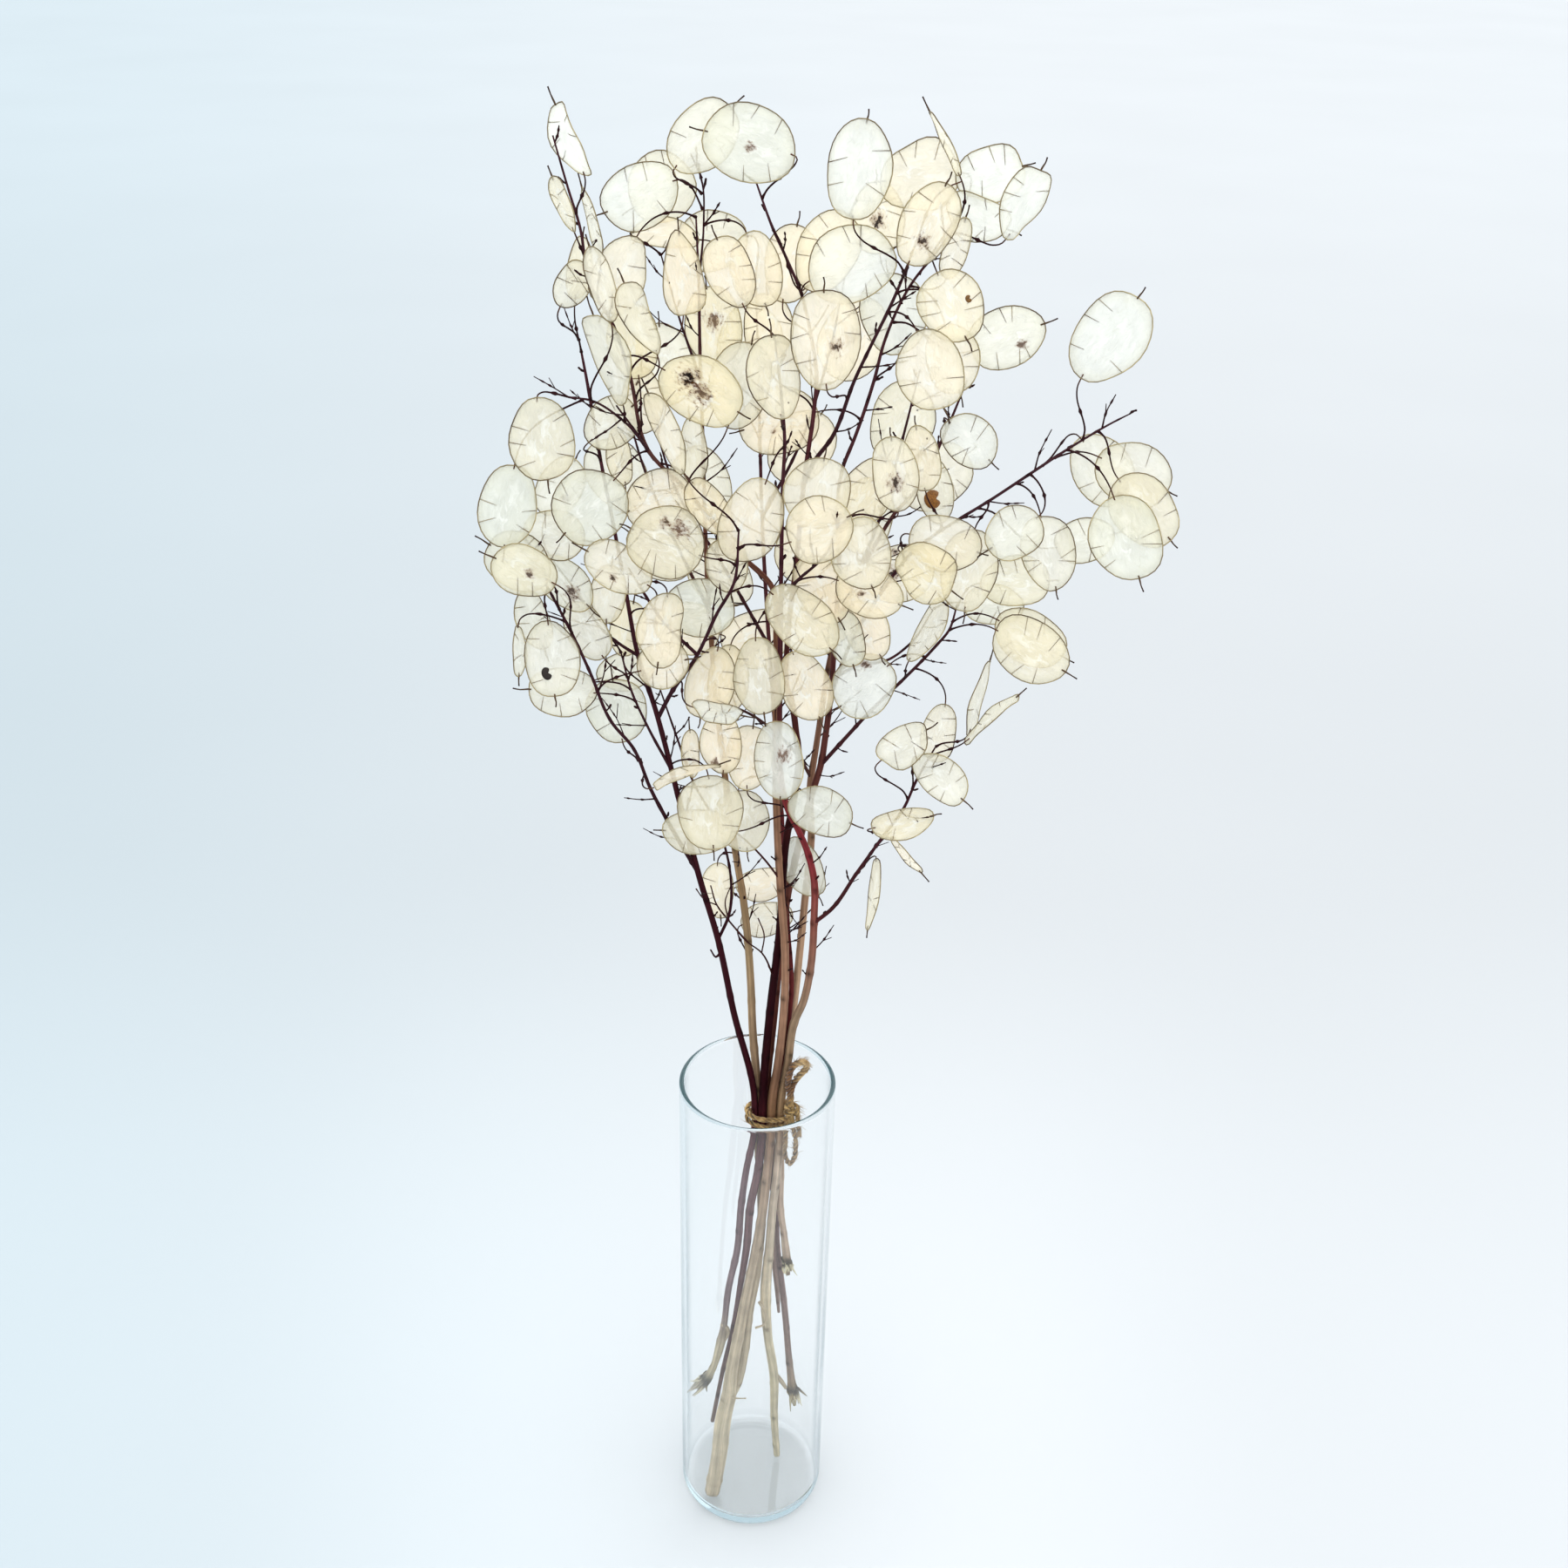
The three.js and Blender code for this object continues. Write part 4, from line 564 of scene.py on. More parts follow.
LINES, PLACED = place_everything()
for spot in CRUMPLED:
    nearest_pod(*spot)["worn"] = WRINKLED

# ---------- making things ----------
def linear(code):
    """A paint code such as #c3b59b as linear red, green, blue and 1."""
    parts = [int(code[i:i + 2], 16) / 255 for i in (1, 3, 5)]
    return (*[p / 12.92 if p <= 0.04045 else ((p + 0.055) / 1.055) ** 2.4 for p in parts], 1.0)


def mixed(a, b, t):
    return tuple(p + (q - p) * t for p, q in zip(a, b))


def eased(value, low, high):
    t = min(1, max(0, (value - low) / (high - low)))
    return t * t * (3 - 2 * t)


def new_material(name):
    material = bpy.data.materials.new(name)
    material.use_nodes = True
    material.node_tree.nodes.clear()
    return material


def add(material, kind, *inputs, **settings):
    """Adds a shader node with its settings and links.

    Inputs come in the node's own order, and then by name in a dictionary. A node given as an
    input is linked by its first output.
    """
    made = material.node_tree.nodes.new("ShaderNode" + kind)
    for key, value in settings.items():
        setattr(made, key, value)
    named = inputs[-1] if inputs and isinstance(inputs[-1], dict) else {}
    for key, value in [*enumerate(inputs[:-1] if named else inputs), *named.items()]:
        if isinstance(value, bpy.types.Node):
            value = value.outputs[0]
        if isinstance(value, bpy.types.NodeSocket):
            material.node_tree.links.new(value, made.inputs[key])
        else:
            made.inputs[key].default_value = value
    return made


def deselect():
    bpy.ops.object.select_all(action="DESELECT")


def pick(obj, kind, chosen):
    """In edit mode, selects the corners, edges or faces for which chosen says so."""
    bpy.ops.mesh.select_mode(type=kind)
    bpy.ops.mesh.select_all(action="DESELECT")
    bm = bmesh.from_edit_mesh(obj.data)
    for part in {"VERT": bm.verts, "EDGE": bm.edges, "FACE": bm.faces}[kind]:
        if chosen(part):
            part.select_set(True)
    bm.select_flush_mode()
    bmesh.update_edit_mesh(obj.data)


def put_by():
    """Takes the blank just modelled out of the scene."""
    obj = bpy.context.object
    for holder in obj.users_collection:
        holder.objects.unlink(obj)
    return obj


def runs_along(edge):
    return abs(edge.verts[0].co.z - edge.verts[1].co.z) > 1e-4


@cache
def rod_blank(sides, rows):
    """A closed rod of radius 1 and length 1 with so many sides, and rows of faces along it."""
    deselect()
    bpy.ops.mesh.primitive_cylinder_add(vertices=sides, radius=1, depth=1, location=(0, 0, 0.5),
                                        end_fill_type="TRIFAN")
    bpy.ops.object.transform_apply(location=True)
    bpy.ops.object.mode_set(mode="EDIT")
    left = rows
    while left > 1:
        cuts = left if left <= MOST_CUTS else next(n for n in range(10, 1, -1) if left % n == 0)
        pick(bpy.context.object, "EDGE", runs_along)
        bpy.ops.mesh.subdivide(number_cuts=cuts - 1)
        left //= cuts
    bpy.ops.object.mode_set(mode="OBJECT")
    return put_by()


@cache
def disc_blank():
    """A flat disc of radius 1 in rings, for a pod's sheet."""
    deselect()
    bpy.ops.mesh.primitive_circle_add(vertices=POD_SIDES, radius=1, fill_type="NGON")
    bpy.ops.object.mode_set(mode="EDIT")
    for width in POD_RINGS:
        bpy.ops.mesh.inset(thickness=width)
    bpy.ops.mesh.poke()
    bpy.ops.object.mode_set(mode="OBJECT")
    return put_by()


@cache
def hoop_blank():
    """A thin ring of radius 1, for a pod's frame."""
    deselect()
    bpy.ops.mesh.primitive_torus_add(major_segments=POD_SIDES, minor_segments=5,
                                     major_radius=1, minor_radius=HOOP_CORD)
    return put_by()


@cache
def seed_blank():
    """A flattened kidney of length and width 1: a ball pressed in at one side."""
    deselect()
    bpy.ops.mesh.primitive_uv_sphere_add(segments=20, ring_count=12, radius=0.5)
    bpy.ops.transform.resize(value=(1, 1, 0.26))
    bpy.ops.object.transform_apply(scale=True)
    obj = put_by()
    for v in obj.data.vertices:
        v.co.y -= 0.34 * math.exp(-(v.co.x / 0.16) ** 2) * eased(v.co.y, 0.0, 0.5)
    return obj


def copied(blank, places, paint, **more):
    """A copy of a blank with its own mesh, its corners put at places (mm) and coloured."""
    mesh = blank.data.copy()
    mesh.vertices.foreach_set("co", (np.asarray(places) * MM).ravel())
    for name, rows in {"paint": paint, **more}.items():
        layer = mesh.attributes.new(name, "FLOAT_COLOR", "POINT")
        layer.data.foreach_set("color", np.asarray(rows, dtype=float).ravel())
    obj = bpy.data.objects.new("copy", mesh)
    bpy.context.scene.collection.objects.link(obj)
    return obj


def corners_of(blank):
    """A blank's corners, one row each."""
    flat = np.empty(len(blank.data.vertices) * 3)
    blank.data.vertices.foreach_get("co", flat)
    return flat.reshape(-1, 3)


def unit_rows(rows):
    return rows / np.maximum(np.linalg.norm(rows, axis=1, keepdims=True), 1e-9)


def along(path, rows):
    """rows + 1 even places along a path of [x, y, z, radius], with frames that don't twist."""
    path = np.array([tuple(p) for p in path], dtype=float)
    steps = np.linalg.norm(np.diff(path[:, :3], axis=0), axis=1)
    run = np.concatenate([[0], np.cumsum(steps)])
    at = np.linspace(0, run[-1], rows + 1)
    mid = np.stack([np.interp(at, run, path[:, k]) for k in range(3)], 1)
    radius = np.interp(at, run, path[:, 3])
    way = unit_rows(np.gradient(mid, axis=0))
    first = np.cross(way[0], (0.3, 1, 0.2))
    side = [first / np.linalg.norm(first)]
    for w in way[1:]:
        s = side[-1] - w * side[-1].dot(w)
        side.append(s / np.linalg.norm(s))
    side = np.array(side)
    return at, mid, radius, side, np.cross(way, side)


def rod(path, sides, rows, colour, swell=None, ribs=0.0, spots=(), core=None):
    """A rod along a path; colour(mid, share) paints it and swell(at) thickens it.

    spots are dark marks (place along, angle round, size), and core is the middle of a cord whose
    ply this rod is: painted shade darkens the side that is turned to it, and the far side is a little
    lighter.
    """
    blank = rod_blank(sides, rows)
    corners = corners_of(blank)
    at, mid, radius, side, up = along(path, rows)
    row = np.rint(corners[:, 2] * rows).astype(int)
    if swell is not None:
        radius = radius * swell(at)
    angle = np.arctan2(corners[:, 1], corners[:, 0])
    rib = ribs * np.cos(RIBS * angle + RIB_TWIST * at[row])
    reach = radius[row] * (1 + rib)
    places = mid[row] + (side[row] * corners[:, :1] + up[row] * corners[:, 1:2]) * reach[:, None]
    shades = np.array([colour(m, a / at[-1]) for m, a in zip(mid, at)], dtype=float)[row]
    # painted shade in the grooves between the ribs and painted highlight on the ribs
    light = 1 + GROOVE_SHADE * rib
    for place, way, size in spots:
        round_it = (angle - way + math.pi) % (2 * math.pi) - math.pi
        off = ((at[row] - place) / size) ** 2 + (radius[row] * round_it / size) ** 2
        light *= 1 - MARK_DARK * np.exp(-off)
    if core is not None:
        even = np.linspace(0, 1, len(core))
        heart = np.stack([np.interp(row / rows, even, core[:, k]) for k in range(3)], 1)
        out = np.linalg.norm(places - heart, axis=1) / (2.0 * float(radius.mean()))
        # painted shade between the plies, and painted light on their outer side
        light *= np.clip(1.5 * out - 0.5, 0.14, 1.2)
    shades[:, :3] *= light[:, None]
    obj = copied(blank, places, shades)
    # its UV in metres: u round the rod and v along it
    layer = obj.data.uv_layers[0]
    uv = np.empty((len(layer.data), 2))
    layer.data.foreach_get("uv", uv.ravel())
    uv[:, 0] *= 2 * math.pi * float(radius.mean()) * MM
    uv[:, 1] = (uv[:, 1] - 0.5) * 2 * float(at[-1]) * MM
    layer.data.foreach_set("uv", uv.ravel())
    return obj


def gathered(name, copies, material, node):
    """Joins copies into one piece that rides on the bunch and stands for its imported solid."""
    deselect()
    for obj in copies:
        obj.select_set(True)
    bpy.context.view_layer.objects.active = copies[0]
    if len(copies) > 1:
        bpy.ops.object.join()
    piece = bpy.context.view_layer.objects.active
    piece.name = piece.data.name = name
    bpy.ops.object.shade_smooth()
    piece.data.materials.clear()
    piece.data.materials.append(material)
    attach(piece, "root")
    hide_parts(node)
    return piece

# ---------- materials ----------
def glass_material(look):
    """Soda-lime glass, drawn tube with fire-polished lip: clear face on, teal through its edges."""
    m = new_material("soda_lime_glass_fire_polished")
    where = add(m, "TexCoord").outputs["Object"]
    high = add(m, "SeparateXYZ", where).outputs["Z"]
    # painted reflection: where the wall is seen edge on, the room's grey is painted into its colour,
    # in streaks that the drawing left, 5 to 10 mm across and 60 mm long, and more of them low down
    edge_on = add(m, "LayerWeight", 0.5).outputs["Facing"]
    slope = add(m, "MapRange", edge_on, 0.7, 0.86, interpolation_type="SMOOTHSTEP")
    drawn = add(m, "Mapping", where, {"Scale": (90, 90, 16)})
    streak = add(m, "TexNoise", drawn, {"Scale": 1.0, "Detail": 2.0})
    some = add(m, "MapRange", streak, 0.36, 0.56, 0.6, 1.0)
    low = add(m, "MapRange", high, 0.27, 0.13, 0.15, 1.0)
    grey = add(m, "Math", slope, some, operation="MULTIPLY")
    share = add(m, "Math", grey, low, operation="MULTIPLY")
    wall = add(m, "MixRGB", share, WHITE, look.side_tint)
    body = add(m, "BsdfPrincipled", wall, {"Roughness": 0.0, "IOR": 1.5,
                                           "Transmission Weight": 1.0})
    rays = add(m, "LightPath").outputs
    both = add(m, "MixShader", rays["Is Shadow Ray"], body, add(m, "BsdfTransparent", WHITE))
    # light caught in the wall by total reflection leaves it after three turns: dark teal where it
    # glanced along the wall, running 6 mm or more between turns, and almost clear where it
    # crossed steeply
    run = add(m, "MapRange", rays["Ray Length"], 0.0052, 0.007)
    lip = add(m, "MixRGB", run, linear("#eef2f3"), look.lip_tint)
    up = add(m, "MapRange", high, 0.02, 0.06)
    edge = add(m, "MixRGB", up, look.heel_tint, lip)
    past = add(m, "Math", rays["Transparent Depth"], 0.5, operation="GREATER_THAN")
    cut = add(m, "MixRGB", past, edge, WHITE)
    caught = add(m, "Math", rays["Glossy Depth"], 2.5, operation="GREATER_THAN")
    both = add(m, "MixShader", caught, both, add(m, "BsdfTransparent", cut))
    depth = add(m, "VolumeAbsorption", look.glass_tint, look.glass_depth)
    add(m, "OutputMaterial", both, depth)
    return m


def bark_material():
    """Dried herb stem, sun-bleached skin over pith: fine long fibres and worn streaks, dull."""
    m = new_material("dried_honesty_stem_bark")
    paint = add(m, "Attribute", attribute_name="paint")
    where = add(m, "TexCoord").outputs
    # fibres about 0.3 mm wide and 15 mm long
    lay = add(m, "Mapping", where["UV"], {"Scale": (3300, 66, 1)})
    fibre = add(m, "TexNoise", lay, {"Scale": 1.0, "Detail": 3.0, "Roughness": 0.6})
    # weathered patches some 8 mm across
    patch = add(m, "TexNoise", where["Object"], {"Scale": 120.0, "Detail": 2.0})
    long = add(m, "MapRange", fibre, 0.3, 0.7, 0.8, 1.18)
    wide = add(m, "MapRange", patch, 0.3, 0.7, 0.86, 1.12)
    both = add(m, "Math", long, wide, operation="MULTIPLY")
    # streaks 1.2 mm wide and 40 mm long where the skin has worn to the paler pith
    run = add(m, "Mapping", where["UV"], {"Scale": (820, 25, 1)})
    streak = add(m, "TexNoise", run, {"Scale": 1.0, "Detail": 2.0})
    worn = add(m, "MapRange", streak, 0.54, 0.72, 0.0, 0.26)
    pith = add(m, "VectorMath", paint, (1.7, 1.62, 1.45), operation="MULTIPLY")
    bare = add(m, "MixRGB", worn, paint, pith)
    skin = add(m, "VectorMath", bare, {"Scale": both}, operation="SCALE")
    bump = add(m, "Bump", {"Height": fibre, "Strength": 0.5, "Distance": 0.0002})
    body = add(m, "BsdfPrincipled", skin, {"Roughness": 0.6, "Specular IOR Level": 0.05,
                                           "Normal": bump})
    add(m, "OutputMaterial", body)
    return m


def bloom_on(m, uv, skin, name):
    """Mixes one brown bloom and its black dust into the sheet's colour; also gives their cover."""
    mark = add(m, "Attribute", attribute_name=name)
    spot = add(m, "SeparateColor", mark).outputs
    place = add(m, "CombineXYZ", spot[0], spot[1])
    off = add(m, "VectorMath", uv, place, operation="DISTANCE").outputs["Value"]
    share = add(m, "Math", off, spot[2], operation="DIVIDE")
    # dust in clots and short scratches of 1.5 to 3 mm that break up into grains
    lay = add(m, "Mapping", uv, {"Scale": (340, 560, 1)})
    dust = add(m, "TexNoise", lay, {"Scale": 1.0, "Detail": 6.0, "Roughness": 0.68})
    rough = add(m, "MapRange", dust, 0.3, 0.7, 0.1, 1.9)
    strong = add(m, "Math", rough, share, operation="SUBTRACT")
    bloom = add(m, "MapRange", strong, 0.0, 0.75, 0.0, 0.8)
    core = add(m, "MapRange", strong, 0.55, 0.82)
    black = add(m, "Math", core, mark.outputs["Alpha"], operation="MULTIPLY")
    rust = add(m, "MixRGB", bloom, skin, linear("#744209"))
    sooty = add(m, "MixRGB", black, rust, linear("#160b06"))
    return sooty, add(m, "Math", bloom, black, operation="MAXIMUM")


def septum_material(look):
    """Honesty septum, a dried skin thinner than paper: creased, with painted pearly highlights and
    painted shade in its creases, warm where lit through.
    """
    m = new_material("honesty_septum_papery_membrane")
    paint = add(m, "Attribute", attribute_name="paint")
    reach = add(m, "Attribute", attribute_name="reach").outputs["Fac"]
    where = add(m, "TexCoord").outputs
    # soft creases 2 to 6 mm apart that run mostly along the pod
    lay = add(m, "Mapping", where["UV"], {"Scale": (150, 320, 1)})
    apart = add(m, "VectorMath", lay, paint, operation="ADD")
    crease = add(m, "TexNoise", apart, {"Scale": 1.0, "Detail": 4.5, "Roughness": 0.58,
                                        "Distortion": 1.3})
    # clouds of thicker skin about 8 mm across
    cloud = add(m, "TexNoise", where["Object"], {"Scale": 125.0, "Detail": 3.0})
    # the skin's own cells, 0.5 mm, drawn coarser than life so that they show
    cell = add(m, "TexNoise", where["Object"], {"Scale": 1900.0, "Detail": 1.0})
    tone = add(m, "MapRange", cloud, 0.3, 0.7, 0.93, 1.04)
    sheet = add(m, "VectorMath", paint, {"Scale": tone}, operation="SCALE")
    # painted highlights: pearly patches where the creases catch the light, strongest in the pod's
    # middle
    inner = add(m, "MapRange", reach, 0.9, 0.35)
    high = add(m, "MapRange", crease, 0.5, 0.68, 0.0, 0.8)
    crease_highlight = add(m, "Math", inner, high, operation="MULTIPLY")
    shine = add(m, "MixRGB", crease_highlight, sheet, linear("#fdfefa"))
    # painted shade in the creases' hollows
    low = add(m, "MapRange", crease, 0.44, 0.3, 0.0, 0.3)
    crease_shaded = add(m, "MixRGB", low, shine, linear("#cfcebc"))
    # the skin yellows and thickens towards the frame
    rim = add(m, "MapRange", reach, 0.72, 1.0, 0.0, 0.3)
    edged = add(m, "MixRGB", rim, crease_shaded, linear("#e0dcbc"))
    # black specks of 0.4 mm, one or two to a pod
    cells = add(m, "TexVoronoi", where["Object"], {"Scale": 105.0}).outputs
    close = add(m, "MapRange", cells["Distance"], 0.06, 0.035)
    few = add(m, "Math", add(m, "SeparateColor", cells["Color"]), 0.74, operation="GREATER_THAN")
    speck = add(m, "Math", close, few, operation="MULTIPLY")
    dotted = add(m, "MixRGB", speck, edged, linear("#5a4530"))
    marked, first = bloom_on(m, where["UV"], dotted, "mark")
    skin, second = bloom_on(m, where["UV"], marked, "mark_two")
    cover = add(m, "Math", first, second, operation="MAXIMUM")
    matt = add(m, "MapRange", cover, {"To Min": 0.33, "To Max": 0.95})
    fine = add(m, "Bump", {"Height": cell, "Strength": 0.1, "Distance": 0.0002})
    bump = add(m, "Bump", {"Height": crease, "Strength": 0.7, "Distance": 0.0016, "Normal": fine})
    front = add(m, "BsdfPrincipled", skin, {
        "Roughness": matt, "Specular IOR Level": 0.3, "Sheen Weight": 0.15, "Sheen Roughness": 0.4,
        "Normal": bump})
    through = add(m, "VectorMath", skin, linear("#fefaee")[:3], operation="MULTIPLY")
    back = add(m, "BsdfTranslucent", through, {"Normal": bump})
    both = add(m, "MixShader", look.septum_glow, front, back)
    # what is close behind shows faintly: each of the sheet's two faces lets this share past, but
    # little where dust covers it
    bare = add(m, "MapRange", cover, {"To Min": look.septum_sheer, "To Max": 0.08})
    # a skin this thin scatters most light onwards, so it throws hardly a shadow on those behind it
    shadow = add(m, "LightPath").outputs["Is Shadow Ray"]
    onward = add(m, "Math", shadow, look.septum_onward, operation="MULTIPLY")
    share = add(m, "Math", bare, onward, operation="MAXIMUM")
    sheer = add(m, "MixShader", share, both, add(m, "BsdfTransparent", WHITE))
    add(m, "OutputMaterial", sheer)
    return m


def mottled_material(name, mottle, tones, relief, roughness, shine):
    """A dried plant skin whose paint turns darker and lighter in patches that also stand up."""
    m = new_material(name)
    paint = add(m, "Attribute", attribute_name="paint")
    where = add(m, "TexCoord").outputs["Object"]
    patch = add(m, "TexNoise", where, {"Scale": mottle, "Detail": 3.0})
    tone = add(m, "MapRange", patch, 0.3, 0.7, *tones)
    skin = add(m, "VectorMath", paint, {"Scale": tone}, operation="SCALE")
    bump = add(m, "Bump", {"Height": patch, "Strength": relief, "Distance": 0.0002})
    body = add(m, "BsdfPrincipled", skin, {"Roughness": roughness, "Specular IOR Level": shine,
                                           "Normal": bump})
    add(m, "OutputMaterial", body)
    return m


def frame_material():
    """Honesty replum, the pod's dried wire-like frame: olive brown, dull, in patches of 4 mm."""
    return mottled_material("honesty_pod_frame_dried_fibre", 260.0, (0.65, 1.25), 0.3, 0.6, 0.3)


def seed_material():
    """Honesty seed coat, dried: dark brown and leathery with a dull shine and 0.7 mm pits."""
    return mottled_material("honesty_seed_coat_dried", 1400.0, (0.55, 1.4), 0.5, 0.42, 0.25)


def jute_material():
    """Jute twine, spun bast fibre: olive gold to brown, matt, streaked along each ply."""
    m = new_material("spun_jute_fibre")
    where = add(m, "TexCoord").outputs
    paint = add(m, "Attribute", attribute_name="paint")
    # fibres 0.15 mm wide, drawn 0.25 mm so that they show
    lay = add(m, "Mapping", where["UV"], {"Scale": (4000, 160, 1)})
    fibre = add(m, "TexNoise", lay, {"Scale": 1.0, "Detail": 4.0, "Roughness": 0.7})
    strand = add(m, "MapRange", fibre, 0.3, 0.68)
    tone = add(m, "MixRGB", strand, linear("#523816"), linear("#d6b270"))
    # brown stains some 3 mm across
    patch = add(m, "TexNoise", where["Object"], {"Scale": 300.0, "Detail": 2.0})
    stain = add(m, "MapRange", patch, 0.4, 0.65, 0.0, 0.75)
    flat = add(m, "MixRGB", stain, tone, linear("#6a4c22"))
    skin = add(m, "VectorMath", flat, paint, operation="MULTIPLY")
    bump = add(m, "Bump", {"Height": fibre, "Strength": 0.8, "Distance": 0.0003})
    body = add(m, "BsdfPrincipled", skin, {"Roughness": 0.9, "Sheen Weight": 0.25, "Normal": bump})
    add(m, "OutputMaterial", body)
    return m


def paper_material(look):
    """Seamless studio paper, calendered: pale blue-white and matt, with a barely seen mottle."""
    m = new_material("studio_paper_matt")
    where = add(m, "TexCoord").outputs["Object"]
    x, y = add(m, "SeparateXYZ", where).outputs[:2]
    # the paper turns a little cooler and darker away from the light, in a wedge to the left
    far = add(m, "Math", y, 1.3, operation="ADD")
    some = add(m, "Math", far, 0.5, operation="MAXIMUM")
    slant = add(m, "Math", x, some, operation="DIVIDE")
    near = add(m, "MapRange", slant, -0.45, 0.12, interpolation_type="SMOOTHSTEP")
    # the wedge fades out in front, where the paper lies in open light
    bare = add(m, "MapRange", y, -0.35, -1.2, interpolation_type="SMOOTHSTEP")
    even = add(m, "Math", near, bare, operation="MAXIMUM")
    skin = add(m, "MixRGB", even, look.paper_far, look.paper)
    # and is dullest 0.3 to 1.2 m behind the vase, between the light from the front and the back
    pool = add(m, "MapRange", y, 0.7, 0.05, 0.0, 0.2, interpolation_type="SMOOTHSTEP")
    off = add(m, "Math", slant, operation="ABSOLUTE")
    side = add(m, "MapRange", off, 0.08, 0.26, 1.0, 0.58, interpolation_type="SMOOTHSTEP")
    lift = add(m, "Math", pool, side, operation="MULTIPLY")
    light = add(m, "Math", lift, 0.93, operation="ADD")
    # painted shade on the paper in front of the vase, from 0.5 to 1.6 m, and painted light far behind
    # it, from 0.7 to 5 m
    for span in ((-0.5, -1.6, 1.0, 0.82), (0.7, 5.0, 1.0, 1.08)):
        band = add(m, "MapRange", y, *span, interpolation_type="SMOOTHSTEP")
        light = add(m, "Math", light, band, operation="MULTIPLY")
    cloud = add(m, "TexNoise", where, {"Scale": 1.5, "Detail": 2.0})
    mottle = add(m, "MapRange", cloud, {"To Min": 0.97, "To Max": 1.03})
    light = add(m, "Math", mottle, light, operation="MULTIPLY")
    lit = add(m, "VectorMath", skin, {"Scale": light}, operation="SCALE")
    body = add(m, "BsdfPrincipled", lit, {"Roughness": 0.9, "Specular IOR Level": 0.1})
    add(m, "OutputMaterial", body)
    return m

# ---------- the pieces ----------
def bumps(at, beads, wide):
    """How far beads (place along, height), each so wide, swell a rod at its rows."""
    return sum(high * np.exp(-((at - place) / wide) ** 2) for place, high in beads)


def on_pod(f, u, v):
    """Where the line of sight through u, v meets a pod's face: millimetres along and across it."""
    way = (seen(u, v, 0) - EYE).normalized()
    hit = EYE + way * ((f["c"] - EYE).dot(f["n"]) / way.dot(f["n"]))
    return (hit - f["c"]).dot(f["a"]), (hit - f["c"]).dot(f["b"])


def phases(f, first, count):
    """Draws of a pod as angles, so that no two pods curl alike."""
    return [6.283 * draw(f["number"], k) for k in range(first, first + count)]


def axes(f, keys):
    """A pod's middle or directions, by their letters."""
    return (np.array(f[k]) for k in keys)


def round_angle(corners):
    return np.arctan2(corners[:, 1], corners[:, 0])


def lifted(f, x, y):
    """Places on a pod's sheet for x along and y across, both -1 to 1, gently crumpled."""
    p = phases(f, 10, 4)
    rho = np.minimum(1.2, np.hypot(x, y / FULLNESS))
    angle = np.arctan2(y, x)
    bow = f["bend"] * (1 - np.minimum(1, x * x))
    crumple = (1 - np.minimum(1, rho) ** 2) * (0.42 * np.sin(3.1 * x + 2.2 * y + p[0])
                                               + 0.3 * np.sin(4.7 * y - 2.9 * x + p[1]))
    warp = 0.38 * rho ** 2 * np.sin(2 * angle + p[2]) + 0.16 * rho ** 4 * np.sin(5 * angle + p[3])
    rise = bow + (crumple + warp) * f["worn"]
    c, a, b, n = axes(f, "cabn")
    return c + np.outer(x * f["hl"], a) + np.outer(y * f["hw"], b) + np.outer(rise, n)


def outline(f, angle):
    """x and y of a pod's edge at an angle round it, with the small kinks of the real thing."""
    p = phases(f, 20, 3)
    wave = 1 + f["worn"] * (0.02 * np.sin(2 * angle + p[0]) + 0.028 * np.sin(3 * angle + p[1])
                            + 0.013 * np.sin(5 * angle + p[2]))
    sine = np.sin(angle)
    return np.cos(angle) * wave, FULLNESS * np.sign(sine) * np.abs(sine) ** 0.92 * wave


def sheet_paint(f):
    """A pod's colour: given by the tables, or cream inside the bunch and paler outside, partly its
    own tone and
    partly painted light: warm light passed on between the sheets inside and pale light through the
    outer ones.
    """
    kept = [tint for tint, spots in TINTS.items() if any(nearest_pod(*spot) is f for spot in spots)]
    if kept:
        base = linear(SHEETS[kept[0]])
    else:
        out = math.hypot(f["c"].x - 5, 0.7 * f["c"].y)
        base = linear(SHEETS["cream"])
        for tint, share in (("outer", eased(out, 35, 95)),
                            ("grey", 0.6 * eased(draw(f["number"], 30), 0.5, 1.0)),
                            ("tan", 0.5 * eased(draw(f["number"], 31), 0.7, 1.0))):
            base = mixed(base, linear(SHEETS[tint]), share)
    # tone that differs at random, and painted light: pods higher in the bunch are a little brighter
    light = 0.945 + 0.05 * draw(f["number"], 32) + 0.04 * eased(f["v"], 560, 700)
    return (*[min(1, p * light) for p in base[:3]], 1)


def marks_by_pod():
    """Up to two marks a pod: place in its sheet and size in metres, and blackness."""
    marks = {}
    for u, v, size, black in STAINS:
        f = nearest_pod(u, v)
        x, y = on_pod(f, u, v)
        marks.setdefault(f["number"], []).append((x * MM, y * MM, size * MM, black))
    return marks


def pod_sheet(f, marks):
    """A pod's papery sheet; its UV is in metres from its middle, where the stains are looked up."""
    corners = corners_of(disc_blank())
    rho = np.hypot(corners[:, 0], corners[:, 1])
    x, y = outline(f, round_angle(corners))
    x, y = x * rho, y * rho
    first, second = (marks + [NO_MARK, NO_MARK])[:2]
    obj = copied(disc_blank(), lifted(f, x, y), [sheet_paint(f)] * len(x), mark=[first] * len(x),
                 mark_two=[second] * len(x), reach=[(r, r, r, 1) for r in rho])
    layers = obj.data.uv_layers
    at = np.empty(len(obj.data.loops), dtype=int)
    obj.data.loops.foreach_get("vertex_index", at)
    uv = np.stack([x[at] * f["hl"], y[at] * f["hw"]], 1) * MM
    (layers[0] if layers else layers.new(name="UVMap")).data.foreach_set("uv", uv.ravel())
    return obj


